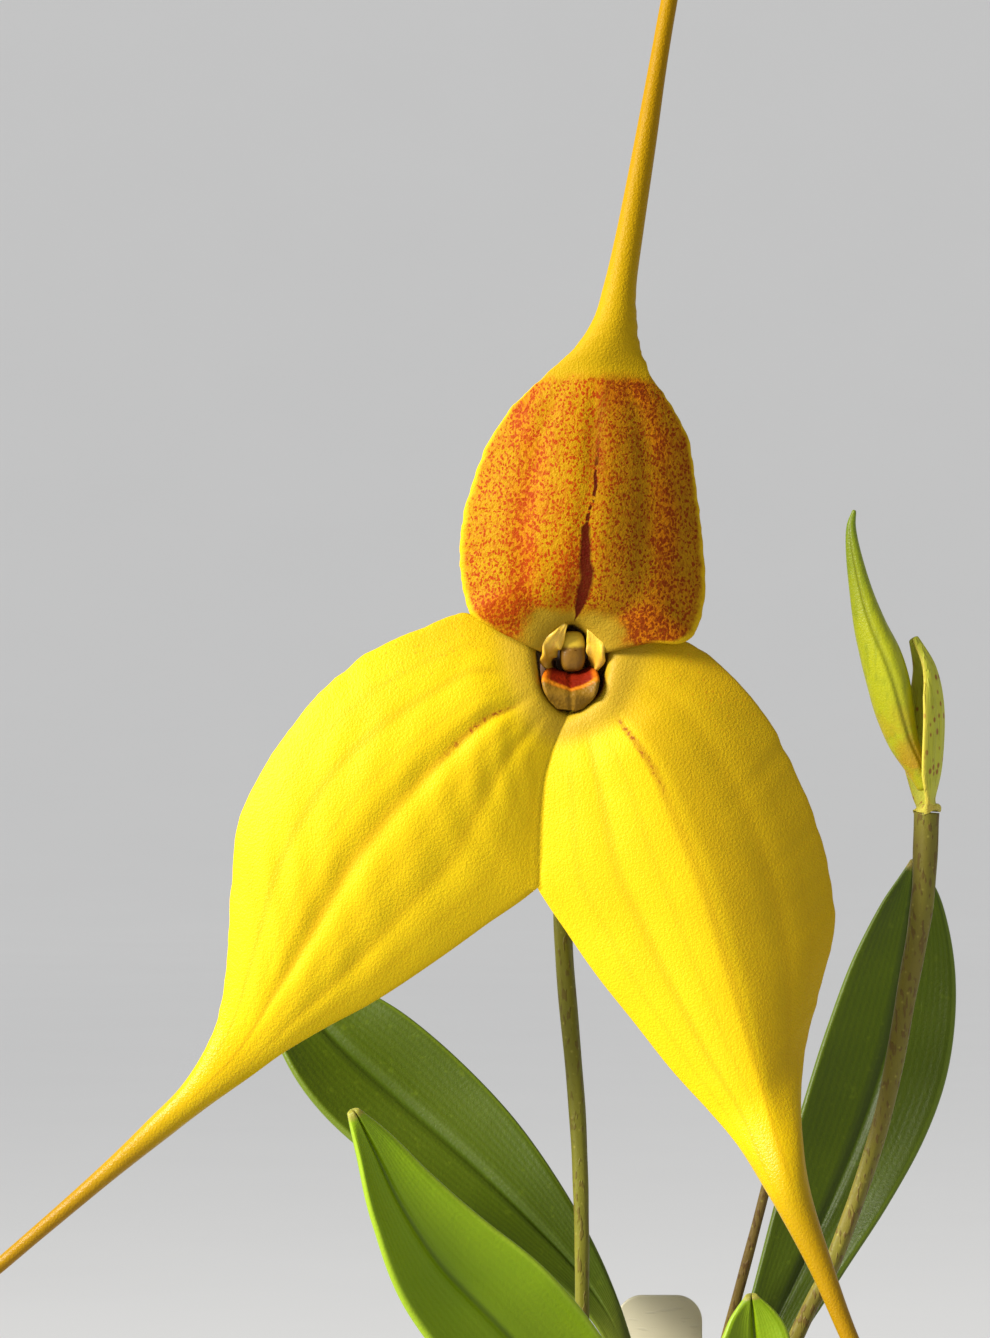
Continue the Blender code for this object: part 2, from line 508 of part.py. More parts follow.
def throat():
    """Two petals, the lip, the column and the ovary behind them."""
    for name, side in (("petal_left", -1), ("petal_right", 1)):
        path = bloom_places([(side * x, y, z) for x, y, z in PETAL_PATH])
        facing = (-side * 1.0, -0.35, 0.1)
        strap(name, "petal", path, PETAL_HALF_WIDTHS, (facing, facing), (0.1, 0.2), PETAL_THICKNESS,
              PETAL_THICKNESS, lambda value: 0.0)
    strap("lip", "lip", bloom_places(LIP_PATH), LIP_HALF_WIDTHS, ((0.0, 0.0, 1.0), (0.0, -1.0, 0.3)),
          LIP_DISH, LIP_THICKNESS, LIP_THICKNESS, lambda value: 0.0)
    rod("column", "column", bloom_places(COLUMN_PATH), COLUMN_RADII, sides=12)
    rod("ovary", "ovary", bloom_places(OVARY_PATH), OVARY_RADII, sides=16)


def sheath(name, path, half_widths, facing):
    """A bract: a plug at its foot that opens into a folded sheath."""
    strap(name, "bract", path, half_widths, (facing, facing), (0.0, 0.9, 1.1, 0.9), 0.7, 0.6,
          lambda value: 1 - smooth_step(value, 0.0, 1.2))


def stalks_and_bud():
    """The bloom's stalk, the bud on its stalk, their bracts and an older bare stalk."""
    rod("bloom_stalk", "stalk", BLOOM_STALK, BLOOM_STALK_RADII)
    sheath("bloom_bract", BLOOM_BRACT_PATH, BLOOM_BRACT_HALF_WIDTHS, (0.0, -1.0, 0.0))
    rod("bud_stalk", "stalk", BUD_STALK, BUD_STALK_RADII)
    sheath("bud_bract", BUD_BRACT_PATH, BRACT_HALF_WIDTHS, (-1.0, -0.25, 0.0))
    rod("bud", "bud", BUD_PATH, BUD_RADII, sides=BUD_SIDES, ridge=BUD_RIDGE)
    rod("old_stalk", "stalk", OLD_STALK, OLD_STALK_RADII, sides=8)


def turned(name, kind, profile, sides):
    """A solid of revolution: the profile's (radius, height) points spun about +Z."""
    mesh_data = bmesh.new()
    edge = [mesh_data.verts.new((radius, 0.0, height)) for radius, height in profile]
    for low, high in zip(edge, edge[1:]):
        mesh_data.edges.new((low, high))
    bmesh.ops.spin(mesh_data, geom=mesh_data.verts[:] + mesh_data.edges[:], cent=(0, 0, 0),
                   axis=(0, 0, 1), angle=2 * math.pi, steps=sides, use_duplicate=False)
    bmesh.ops.remove_doubles(mesh_data, verts=mesh_data.verts, dist=1e-4)
    bmesh.ops.recalc_face_normals(mesh_data, faces=mesh_data.faces)
    return keep(name, mesh_data, kind)


def wall_radius(height):
    """The pot's outer radius at a height, below its rim band."""
    return POT_FOOT_RADIUS + (POT_TOP_RADIUS - RIM_STEP - POT_FOOT_RADIUS) * height / POT_HEIGHT


def subtract(body, cutters, name):
    """Cut every cutter out of the body by one Boolean on their collection."""
    group = bpy.data.collections.new(name)
    bpy.context.scene.collection.children.link(group)
    for cutter in cutters:
        for owner in list(cutter.users_collection):
            owner.objects.unlink(cutter)
        group.objects.link(cutter)
    cut = body.modifiers.new(name, "BOOLEAN")
    cut.operation = "DIFFERENCE"
    cut.operand_type = "COLLECTION"
    cut.collection = group
    cut.solver = "EXACT"
    graph = bpy.context.evaluated_depsgraph_get()
    result = bpy.data.meshes.new_from_object(body.evaluated_get(graph))
    body.modifiers.clear()
    body.data = result
    for cutter in list(group.objects):
        bpy.data.objects.remove(cutter, do_unlink=True)
    bpy.data.collections.remove(group)


def peg(place, radius, low, high, sides=10):
    """An upright round cutter."""
    mesh_data = bmesh.new()
    turn = Matrix.Translation(Vector((place[0], place[1], (low + high) / 2)))
    bmesh.ops.create_cone(mesh_data, cap_ends=True, segments=sides, radius1=radius, radius2=radius,
                          depth=high - low, matrix=turn)
    return keep("peg", mesh_data, "mix")


def pot():
    """A tapered clay pot with a plain rim band and four drain holes."""
    rim_foot = POT_HEIGHT - RIM_HEIGHT
    profile = (
        (0.0, 0.0), (POT_FOOT_RADIUS - 1.0, 0.0), (POT_FOOT_RADIUS, 1.0),
        (wall_radius(rim_foot), rim_foot), (wall_radius(rim_foot) + RIM_STEP - 0.4, rim_foot + 0.6),
        (POT_TOP_RADIUS, POT_HEIGHT - 1.2), (POT_TOP_RADIUS - 1.2, POT_HEIGHT),
        (POT_TOP_RADIUS - RIM_STEP - POT_WALL + 1.0, POT_HEIGHT),
        (POT_TOP_RADIUS - RIM_STEP - POT_WALL, POT_HEIGHT - 1.0),
        (wall_radius(POT_FLOOR) - POT_WALL, POT_FLOOR), (0.0, POT_FLOOR),
    )
    body = turned("pot", "pot", profile, POT_SIDES)
    pegs = []
    for i in range(DRAIN_COUNT):
        angle = 2 * math.pi * (i + 0.5) / DRAIN_COUNT
        place = (DRAIN_RING * math.cos(angle), DRAIN_RING * math.sin(angle))
        pegs.append(peg(place, DRAIN_RADIUS, -2.0, POT_FLOOR + 2.0, sides=16))
    subtract(body, pegs, "drain_holes")


def mix_radius(height):
    """Radius of the potting mix at a height, clear of the pot's inner wall."""
    return wall_radius(height) - POT_WALL - GAP - 0.15


def potting_mix():
    """Bark and moss filling the pot: a rough top with plain holes for stems and label."""
    draw = random.Random(7)
    mesh_data = bmesh.new()
    rings = []
    low = POT_FLOOR + GAP
    for radius, height in ((mix_radius(low), low), (mix_radius(MIX_TOP - 3), MIX_TOP - 3)):
        rings.append([mesh_data.verts.new((radius * math.cos(2 * math.pi * i / MIX_SIDES),
                                           radius * math.sin(2 * math.pi * i / MIX_SIDES), height))
                      for i in range(MIX_SIDES)])
    for k in range(MIX_RINGS):
        share = 1 - k / MIX_RINGS
        ring = []
        for i in range(MIX_SIDES):
            angle = 2 * math.pi * (i + 0.5 * (k % 2)) / MIX_SIDES
            radius = (mix_radius(MIX_TOP) - 0.6) * share
            relief = MIX_RELIEF * draw.uniform(-1, 1) * min(1.0, 3 * share)
            relief += MIX_RELIEF * 0.8 * math.sin(radius * 0.4 + 3 * angle)
            ring.append(mesh_data.verts.new((radius * math.cos(angle), radius * math.sin(angle),
                                             MIX_TOP + relief - 1.2 * share)))
        rings.append(ring)
    for lower, upper in zip(rings, rings[1:]):
        for i in range(MIX_SIDES):
            j = (i + 1) % MIX_SIDES
            mesh_data.faces.new((lower[i], lower[j], upper[j]))
            mesh_data.faces.new((lower[i], upper[j], upper[i]))
    mesh_data.faces.new(rings[0][::-1])
    crown = mesh_data.verts.new((0, 0, MIX_TOP))
    for i in range(MIX_SIDES):
        mesh_data.faces.new((rings[-1][i], rings[-1][(i + 1) % MIX_SIDES], crown))
    body = keep("potting_mix", mesh_data, "mix")
    stems = [(path[0], widths[0]) for path, widths, *_ in LEAVES.values()]
    stems += [(BLOOM_STALK[0], BLOOM_STALK_RADII[0]), (BUD_STALK[0], BUD_STALK_RADII[0]),
              (OLD_STALK[0], OLD_STALK_RADII[0])]
    pegs = [peg(foot, width + HOLE_SLACK, MIX_TOP - HOLE_DEPTH, MIX_TOP + HOLE_REACH)
            for foot, width in stems]
    pegs.append(label_slot())
    subtract(body, pegs, "stem_holes")


def label_outline(width, top, corner):
    """Half round corners at the top of the label."""
    outline = [(-width / 2, STEM_FOOT), (width / 2, STEM_FOOT)]
    for side, start in ((1, 0.0), (-1, 90.0)):
        for i in range(LABEL_CORNER_STEPS + 1):
            angle = math.radians(start + 90.0 * i / LABEL_CORNER_STEPS)
            outline.append((side * (width / 2 - corner) + corner * math.cos(angle),
                            top - corner + corner * math.sin(angle)))
    return outline


def plate(name, kind, outline, thickness, place):
    """A flat upright plate from an outline in X and Z."""
    mesh_data = bmesh.new()
    corners = [mesh_data.verts.new((place[0] + x, place[1] - thickness / 2, z)) for x, z in outline]
    front = mesh_data.faces.new(corners)
    moved = bmesh.ops.extrude_face_region(mesh_data, geom=[front])
    rear = [item for item in moved["geom"] if isinstance(item, bmesh.types.BMVert)]
    bmesh.ops.translate(mesh_data, verts=rear, vec=(0.0, thickness, 0.0))
    bmesh.ops.recalc_face_normals(mesh_data, faces=mesh_data.faces)
    return keep(name, mesh_data, kind)


def label_slot():
    """The cutter for the slot that the label stands in."""
    half = LABEL_WIDTH / 2 + GAP
    low = MIX_TOP - HOLE_DEPTH
    high = MIX_TOP + HOLE_REACH
    outline = [(-half, low), (half, low), (half, high), (-half, high)]
    return plate("peg", "mix", outline, LABEL_THICKNESS + 2 * GAP, LABEL_PLACE)


def plant_label():
    """A blank white plant label standing in the mix."""
    outline = label_outline(LABEL_WIDTH, LABEL_TOP, LABEL_CORNER)
    plate("plant_label", "label", outline, LABEL_THICKNESS, LABEL_PLACE)


def main():
    for old in list(bpy.data.objects):
        bpy.data.objects.remove(old, do_unlink=True)
    pot()
    potting_mix()
    plant_label()
    leaves()
    stalks_and_bud()
    throat()
    dorsal_sepal()
    lateral_sepals()


main()
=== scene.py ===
# %% [markdown]
# # A masdevallia orchid in its clay pot
# One open bloom of three long-tailed sepals stands over a clump of strap leaves, with a bud on
# a stalk of its own. The solids of every piece are loaded first as a fixed frame in metres,
# and each living piece is then laid again over its solid with finer skin. Working inside the
# frame keeps every size true without any fitting.

# %% Load the solids
import math
import random

import bmesh
import bpy
import numpy as np
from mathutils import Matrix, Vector


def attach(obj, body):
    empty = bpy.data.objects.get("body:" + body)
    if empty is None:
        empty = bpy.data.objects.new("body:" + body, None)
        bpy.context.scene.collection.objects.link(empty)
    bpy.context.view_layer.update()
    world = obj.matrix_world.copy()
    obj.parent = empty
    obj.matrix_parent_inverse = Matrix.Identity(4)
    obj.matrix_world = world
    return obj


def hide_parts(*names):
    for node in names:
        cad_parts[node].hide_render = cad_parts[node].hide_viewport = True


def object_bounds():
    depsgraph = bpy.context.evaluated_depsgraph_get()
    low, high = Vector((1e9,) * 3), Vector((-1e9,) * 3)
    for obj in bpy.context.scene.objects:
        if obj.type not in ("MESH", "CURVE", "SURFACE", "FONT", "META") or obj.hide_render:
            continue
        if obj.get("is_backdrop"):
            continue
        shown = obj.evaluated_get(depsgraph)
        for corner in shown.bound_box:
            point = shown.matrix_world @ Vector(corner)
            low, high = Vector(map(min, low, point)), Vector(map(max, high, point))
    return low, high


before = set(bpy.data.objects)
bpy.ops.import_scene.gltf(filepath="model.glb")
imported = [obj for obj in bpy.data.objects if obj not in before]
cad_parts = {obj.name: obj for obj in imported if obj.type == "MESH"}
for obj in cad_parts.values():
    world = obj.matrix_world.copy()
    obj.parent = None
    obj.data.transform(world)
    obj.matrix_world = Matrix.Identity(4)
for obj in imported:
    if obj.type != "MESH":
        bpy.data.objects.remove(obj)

CAD_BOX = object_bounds()
MM = 0.001                      # lengths below are millimetres, and meshes are metres
print("solids:", len(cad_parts))
print("box in mm:", [tuple(round(c / MM, 1) for c in corner) for corner in CAD_BOX])

# %% [markdown]
# ## The photographer's eye
# The picture was taken level with the bloom through a long lens, which keeps the three tails
# nearly free of perspective. A camera could be aimed by eye, but here one pixel of the picture
# is known to be 0.11 mm on the plane of the bloom's mouth, so the lens follows from the
# distance and the frame's height.

# %% Camera
FRAME_PIXELS = 1338             # height of the frame
PIXEL = 0.11                    # one pixel on the mouth's plane
VIEW_DISTANCE = 600.0           # from the eye to that plane
EYE = (-18.15, -622.0, 160.0)
SENSOR = 36.0


def deselect():
    """Leave edit mode and select nothing."""
    if bpy.context.object and bpy.context.object.mode != "OBJECT":
        bpy.ops.object.mode_set(mode="OBJECT")
    bpy.ops.object.select_all(action="DESELECT")


deselect()
bpy.ops.object.camera_add(location=[c * MM for c in EYE], rotation=(math.pi / 2, 0.0, 0.0))
camera = bpy.context.object
camera.name = "eye"
camera.data.sensor_fit = "VERTICAL"
camera.data.sensor_height = SENSOR
camera.data.sensor_width = SENSOR
camera.data.lens = SENSOR * VIEW_DISTANCE / (FRAME_PIXELS * PIXEL)
camera.data.clip_start = 0.01
camera.data.clip_end = 30.0
bpy.context.scene.camera = camera
print("lens:", round(camera.data.lens, 1), "mm")

# %% [markdown]
# ## Shader sums
# Tissue is painted by masks: a stripe here, dots there, a pale rim. Joining Math nodes by hand
# soon becomes unreadable, so one small class wraps a socket and lets the masks be written as
# ordinary sums. Any other node comes from one method that sets it up and links it.

# %% Sockets that can be added and multiplied
class Wire:
    """One output of a shader node, which takes part in sums like a number."""

    def __init__(self, socket):
        self.socket = socket

    def math(self, operation, *others):
        node = self.socket.id_data.nodes.new("ShaderNodeMath")
        node.operation = operation
        for slot, value in zip(node.inputs, (self, *others)):
            plug(slot, value)
        return Wire(node.outputs[0])

    def __add__(self, other):
        return self.math("ADD", other)

    def __sub__(self, other):
        return self.math("SUBTRACT", other)

    def __rsub__(self, other):
        return self.math("MULTIPLY", -1.0).math("ADD", other)

    def __mul__(self, other):
        return self.math("MULTIPLY", other)

    def __truediv__(self, other):
        return self.math("DIVIDE", other)

    def __abs__(self):
        return self.math("ABSOLUTE")

    __radd__ = __add__
    __rmul__ = __mul__

    def most(self, other):
        return self.math("MAXIMUM", other)

    def least(self, other):
        return self.math("MINIMUM", other)


def plug(slot, value):
    """Link a wire to a socket, or set the socket's own value."""
    if isinstance(value, Wire):
        value.socket.id_data.links.new(value.socket, slot)
    elif slot.type == "RGBA":
        slot.default_value = (*value[:3], 1.0)
    else:
        slot.default_value = value


def titled(label):
    """A socket's name from a keyword, such as base_color."""
    return label.replace("_", " ").title().replace("Ior", "IOR")


class Finish:
    """A material: one Principled shader and the nodes that feed it."""

    def __init__(self, name, **constants):
        self.material = bpy.data.materials.new(name)
        self.material.use_nodes = True
        self.nodes = self.material.node_tree.nodes
        self.shader = self.nodes["Principled BSDF"]
        for label, value in constants.items():
            plug(self.shader.inputs[titled(label)], value)

    def node(self, kind, settings=None, sockets=None, output=0):
        """Add a node: its settings first, then the values or links of its sockets."""
        node = self.nodes.new(kind)
        for label, value in (settings or {}).items():
            setattr(node, label, value)
        for label, value in (sockets or {}).items():
            plug(node.inputs[label], value)
        return Wire(node.outputs[output])

    def mark(self, name):
        """A number stored on the piece's points, such as where a point is across a blade."""
        return self.node("ShaderNodeAttribute", {"attribute_name": name}, output=2)

    def place(self):
        """The point's place on the object, in metres."""
        return self.node("ShaderNodeTexCoord", output=3)

    def height(self):
        """The point's height on the object, in millimetres."""
        return self.node("ShaderNodeSeparateXYZ", None, {"Vector": self.place()}, output=2) / MM

    def stretched(self, x, y, z):
        """Places squeezed along each axis, for patterns longer one way than another."""
        return self.node("ShaderNodeMapping", None, {"Vector": self.place(), "Scale": (x, y, z)})

    def noise(self, size, detail=3.0, rough=0.5, vector=None):
        """Soft random patches about as wide as size, in millimetres."""
        return self.node("ShaderNodeTexNoise", None,
                         {"Vector": vector or self.place(), "Scale": 1 / (size * MM), "Detail": detail,
                          "Roughness": rough})

    def cells(self, size, vector=None):
        """Distance to the nearest of many scattered points, size millimetres apart."""
        return self.node("ShaderNodeTexVoronoi", None,
                         {"Vector": vector or self.place(), "Scale": 1 / (size * MM)})

    def step(self, value, low, high):
        """0 below low, 1 above high, with a soft change between."""
        return self.node("ShaderNodeMapRange", {"interpolation_type": "SMOOTHSTEP"},
                         {"Value": value, "From Min": low, "From Max": high})

    def span(self, value, start, end):
        """1 between two soft ends, each given by where its change begins and stops."""
        return self.step(value, *start) * (1 - self.step(value, *end))

    def band(self, value, centre, width):
        """1 where value is at centre, and 0 further from it than width."""
        return 1 - self.step(abs(value - centre), 0.0, width)

    def mix(self, mask, first, second):
        """First colour where the mask is 0, second where it is 1."""
        return self.node("ShaderNodeMix", {"data_type": "RGBA", "clamp_factor": True},
                         {0: mask, 6: first, 7: second}, output=2)

    def relief(self, height, depth):
        """A bump of that depth in millimetres."""
        return self.node("ShaderNodeBump", None, {"Height": height, "Distance": depth * MM})

    def wear(self, colour, roughness=None, normal=None):
        """Feed the shader."""
        for label, value in (("Base Color", colour), ("Roughness", roughness), ("Normal", normal)):
            if value is not None:
                plug(self.shader.inputs[label], value)
        return self.material


print("shader sums ready")

# %% [markdown]
# ## Studio
# The plant stands on a pale floor that curves up all round into a wall, so that no horizon
# runs behind the bloom from any side. It starts as a filled circle whose rim is extruded ring
# by ring, as a potter would raise a dish. The paper glows faintly, so that it stays pale far
# from the lights. One soft light stands high on the left in front, as in the picture, its cone
# kept narrow, and a weak one fills from the right.

# %% Floor and lights
FLAT_RADIUS = 2.5
FLOOR_RADIUS = 2.7
COVE_RADIUS = 1.2
COVE_STEPS = 24
WALL_HEIGHT = 3.2
KEY_PLACE = (-1.14, -0.56, 0.76)
KEY_SIZE = 0.45
KEY_POWER = 11.5
KEY_SPREAD = math.radians(80)
FILL_PLACE = (1.3, -1.1, 0.5)
FILL_SIZE = 1.2
FILL_POWER = 0.7
SKY_STRENGTH = 0.28
PAPER_GLOW = 0.38
AIM = Vector((-0.012, -0.02, 0.150))


def raise_ring(height, growth):
    """Extrude the selected rim, lift it and spread it."""
    bpy.ops.mesh.extrude_edges_move(TRANSFORM_OT_translate={"value": (0.0, 0.0, height)})
    bpy.ops.transform.resize(value=(growth, growth, 1.0))


def floor_paint():
    """Pale matt paper with hardly any grain."""
    look = Finish("pale_paper", roughness=0.9, specular_ior_level=0.2, emission_color=(1.0, 1.0, 1.0),
                  emission_strength=PAPER_GLOW)
    tone = look.mix(look.noise(90.0), (0.36, 0.36, 0.355), (0.39, 0.39, 0.385))
    return look.wear(tone)


deselect()
bpy.ops.mesh.primitive_circle_add(vertices=96, radius=FLAT_RADIUS, fill_type="NGON", location=(0, 0, 0))
floor = bpy.context.object
floor.name = "floor"
bpy.ops.object.mode_set(mode="EDIT")
bpy.ops.mesh.select_all(action="DESELECT")
bpy.ops.mesh.select_mode(type="EDGE")
bpy.ops.mesh.select_non_manifold()
raise_ring(0.0, FLOOR_RADIUS / FLAT_RADIUS)
reach, height = FLOOR_RADIUS, 0.0
for k in range(1, COVE_STEPS + 1):
    turn = math.pi / 2 * k / COVE_STEPS
    new_reach = FLOOR_RADIUS + COVE_RADIUS * math.sin(turn)
    new_height = COVE_RADIUS * (1 - math.cos(turn))
    raise_ring(new_height - height, new_reach / reach)
    reach, height = new_reach, new_height
raise_ring(WALL_HEIGHT - height, 1.0)
bpy.ops.object.mode_set(mode="OBJECT")
bpy.ops.object.shade_smooth()
floor.data.materials.append(floor_paint())
floor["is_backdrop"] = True


def soft_light(name, place, size, power, colour, spread=math.pi):
    """A square area light that looks at the plant, its cone as wide as spread."""
    deselect()
    bpy.ops.object.light_add(type="AREA", location=place)
    light = bpy.context.object
    light.name = name
    light.data.shape = "SQUARE"
    light.data.size = size
    light.data.energy = power
    light.data.color = colour
    light.data.spread = spread
    light.visible_camera = False
    light.rotation_euler = (AIM - Vector(place)).to_track_quat("-Z", "Y").to_euler()


soft_light("key_light", KEY_PLACE, KEY_SIZE, KEY_POWER, (1.0, 0.97, 0.9), KEY_SPREAD)
soft_light("fill_light", FILL_PLACE, FILL_SIZE, FILL_POWER, (0.95, 0.97, 1.0))
sky = bpy.data.worlds.new("studio_sky")
sky.use_nodes = True
sky.node_tree.nodes["Background"].inputs["Color"].default_value = (0.93, 0.95, 1.0, 1.0)
sky.node_tree.nodes["Background"].inputs["Strength"].default_value = SKY_STRENGTH
bpy.context.scene.world = sky
bpy.context.scene.view_settings.view_transform = "Standard"
print("floor radius:", FLOOR_RADIUS, "m, key light:", KEY_POWER, "W")

# %% [markdown]
# ## Stations
# A petal is easiest to describe as a ladder: at each station one point on its first edge, one
# on its middle and one on its second edge. A smooth curve through the stations gives every rung
# between, and a parabola across each rung gives the cup of the blade. Modelling by pushing
# points about could give one such form, but not the same form as the solid below it.

# %% Curves through stations
def curve(points, at):
    """Smooth curve through points, read at station numbers such as 2.5."""
    points = np.asarray(points, dtype=float)
    padded = np.vstack([2 * points[0] - points[1], points, 2 * points[-1] - points[-2]])
    at = np.asarray(at, dtype=float)
    start = np.minimum(at.astype(int), len(points) - 2)
    share = (at - start)[:, None]
    before, near, far, after = (padded[start + k] for k in range(4))
    return 0.5 * (2 * near + (far - before) * share
                  + (2 * before - 5 * near + 4 * far - after) * share ** 2
                  + (3 * near - before - 3 * far + after) * share ** 3)


def unit(rows):
    """Vectors scaled to length one."""
    return rows / np.linalg.norm(rows, axis=-1, keepdims=True)


def soft_step(value, low, high):
    """0 below low, 1 above high, with a soft change between."""
    share = np.clip((np.asarray(value, dtype=float) - low) / (high - low), 0.0, 1.0)
    return share * share * (3 - 2 * share)


def waves(across, along, seed, count=5):
    """Gentle unevenness: a few seeded sine waves over the blade."""
    draw = random.Random(seed)
    total = np.zeros_like(across)
    for _ in range(count):
        phase = draw.uniform(2.0, 5.0) * across + draw.uniform(0.8, 2.2) * along + draw.uniform(0, 6.28)
        total += math.pow(count, -0.5) * np.sin(phase)
    return total


print("curve through three points at 0.5:", curve([(0, 0, 0), (1, 1, 0), (2, 0, 0)], [0.5])[0])

# %% [markdown]
# ## From stations to skin
# A blade of living tissue has two faces and a rounded rim, and its tail is a round cord. Both
# are one tube: a ring of points at each station that is a flat loop in the blade and a circle
# in the tail. A grid is added, its points are laid ring by ring, the two sides that meet are
# merged, and the ends are closed. Each point also stores where it is across and along, for the
# paint to read. Solidify could thicken a sheet, but couldn't roll it up into a tail.

# %% Rings of a blade and of a rod
FLAT = 58                       # points across each face of a blade
RIM = 6                         # points round each rim
ROLL_SHARE = 0.96               # how much of a rolled ring's width its two faces take
CREASE = 0.006                  # how softly a sharp midrib turns
BLADE_FOLD = 2 * FLAT + RIM - 1     # two points of a ring face each other if their numbers add up to this


def blade_rings(first, middle, second, along, half_thickness, roundness, relief=None, flat=FLAT,
                open_first=None, open_second=None, sharp=0.0):
    """Rings round a blade, and the marks that its paint reads."""
    width = np.linalg.norm(second - first, axis=1)[:, None] / 2
    roundness = np.broadcast_to(np.asarray(roundness, dtype=float), (len(first),))[:, None]
    spread = np.linspace(-1, 1, flat)[None, :]
    turns = np.pi * (np.arange(RIM) + 1)[None, :] / (RIM + 1)
    share = np.minimum(half_thickness / width, 0.9)
    rest = 1 - share
    lean = math.acos(ROLL_SHARE)
    low = math.sin(lean)
    drop = np.linspace(low, -low, RIM + 2)[None, 1:-1]
    side = np.sqrt(1 - drop ** 2)
    ones = np.ones_like(width)
    rolled = ROLL_SHARE * spread

    def rim(openness):
        """Across and height of the second rim, rounded, or square where it stays open."""
        shut = ones if openness is None else 1 - np.asarray(openness)[:, None]
        return (rest + share * np.sin(turns)) * shut + (1 - shut), \
            np.cos(turns) * shut + np.linspace(1, -1, RIM + 2)[None, 1:-1] * (1 - shut)

    def reach(openness):
        """How far a face goes out: to where its rim begins, or to the edge where it stays open."""
        return rest if openness is None else rest + (1 - rest) * np.asarray(openness)[:, None]

    edge = np.where(spread < 0, reach(open_first), reach(open_second))
    second_rim, second_drop = rim(open_second)
    first_rim, first_drop = rim(open_first)
    flat_across = np.concatenate([spread * edge, second_rim, (spread * edge)[:, ::-1],
                                  -first_rim[:, ::-1]], axis=1)
    flat_rise = np.concatenate([ones * np.ones_like(spread), second_drop, -ones * np.ones_like(spread),
                                first_drop[:, ::-1]], axis=1) * half_thickness
    roll_across = np.concatenate([rolled, side, rolled[:, ::-1], -side[:, ::-1]], axis=1) * ones
    arch = np.sqrt(1 - rolled ** 2)
    roll_rise = np.concatenate([arch, drop, -arch, drop[:, ::-1]], axis=1) * width
    across = flat_across * (1 - roundness) + roll_across * roundness
    rise = flat_rise * (1 - roundness) + roll_rise * roundness
    slope = (second - first)[:, None] / 2
    bow = ((first + second) / 2 - middle)[:, None]
    a = across[:, :, None]
    bend = (1 - sharp) * a ** 2 + sharp * np.sqrt(a ** 2 + CREASE) - sharp * math.sqrt(CREASE)
    turn = (1 - sharp) * 2 * a + sharp * a / np.sqrt(a ** 2 + CREASE)
    centre = middle[:, None]
    place = centre + a * slope + bend * bow
    station = np.asarray(along, dtype=float)
    lengthwise = np.gradient(centre[:, 0], station, axis=0)[:, None] \
        + a * np.gradient(slope[:, 0], station, axis=0)[:, None] \
        + bend * np.gradient(bow[:, 0], station, axis=0)[:, None]
    normals = unit(np.cross(slope + turn * bow, lengthwise))
    height = rise - half_thickness * (1 - roundness)
    marks = {
        "across": across,
        "along": station[:, None] * np.ones_like(across),
        "behind": np.concatenate([np.zeros(flat), np.linspace(0, 1, RIM + 2)[1:-1], np.ones(flat),
                                  np.linspace(1, 0, RIM + 2)[1:-1]])[None, :] * np.ones_like(across),
    }
    if relief is not None:
        height = height + relief(across, marks["along"], marks["behind"])
    return place + normals * height[:, :, None], marks


def rod_rings(path, radii, reads, around, swell=None):
    """Rings round a stem or body, its radius given at each point of the path."""
    centres = curve(path, reads)
    sizes = np.clip(curve([(r, 0, 0) for r in radii], reads)[:, 0], min(radii), None)
    along = unit(np.gradient(centres, axis=0))
    reference = np.array((0.0, 1.0, 0.0)) if abs(along[0][1]) < 0.7 else np.array((0.0, 0.0, 1.0))
    reach = unit(np.cross(along, reference))[:, None]
    rise = np.cross(along[:, None], reach)
    angle = (2 * np.pi * (np.arange(around) + 0.5) / around)[None, :]
    station = np.asarray(reads, dtype=float)[:, None] * np.ones_like(angle)
    size = sizes[:, None] * np.ones_like(angle)
    if swell is not None:
        size = size * (1 + swell(angle, station))
    ring = centres[:, None] + size[:, :, None] * (np.cos(angle)[:, :, None] * reach
                                                  + np.sin(angle)[:, :, None] * rise)
    marks = {"across": np.cos(angle) * np.ones_like(station), "along": station,
             "round": angle / (2 * np.pi) * np.ones_like(station)}
    return ring, marks


def domed(rings, marks, first=0.0, last=0.0):
    """Add small rounded caps that stand out from the first and last rings, in millimetres."""
    for at_start, reach in ((True, first), (False, last)):
        if not reach:
            continue
        end, next_one = (rings[0], rings[1]) if at_start else (rings[-1], rings[-2])
        centre = end.mean(axis=0)
        out = unit(centre - next_one.mean(axis=0))
        turns = np.radians((25.0, 50.0, 70.0, 85.0))
        caps = np.array([centre + (end - centre) * math.cos(t) + out * reach * math.sin(t) for t in turns])
        order = slice(None, None, -1) if at_start else slice(None)
        pieces = [caps[order], rings] if at_start else [rings, caps]
        rings = np.concatenate(pieces)
        for mark, values in marks.items():
            row = values[:1] if at_start else values[-1:]
            extra = np.repeat(row, len(turns), axis=0)
            marks[mark] = np.concatenate([extra, values] if at_start else [values, extra])
    return rings, marks


print("points in a blade's ring:", 2 * (FLAT + RIM))

# %% Laying a grid's points on rings
def close_ends(shell, rows, around, fold):
    """Bridge the points that face each other in the first and last rings."""
    shell.verts.ensure_lookup_table()
    start = (fold + 1) // 2
    upper = [(start + k) % around for k in range(around // 2)]
    for row, turn in ((0, -1), (rows - 1, 1)):
        base = row * (around + 1)
        for a, b in zip(upper, upper[1:]):
            numbers = (a, b, (fold - b) % around, (fold - a) % around)
            corners = [shell.verts[base + i] for i in numbers]
            shell.faces.new(corners[::turn])


def store(piece, mark, values):
    """Keep a number on each point of a piece, for its paint to read."""
    layer = piece.data.attributes.new(mark, "FLOAT", "POINT")
    layer.data.foreach_set("value", values)


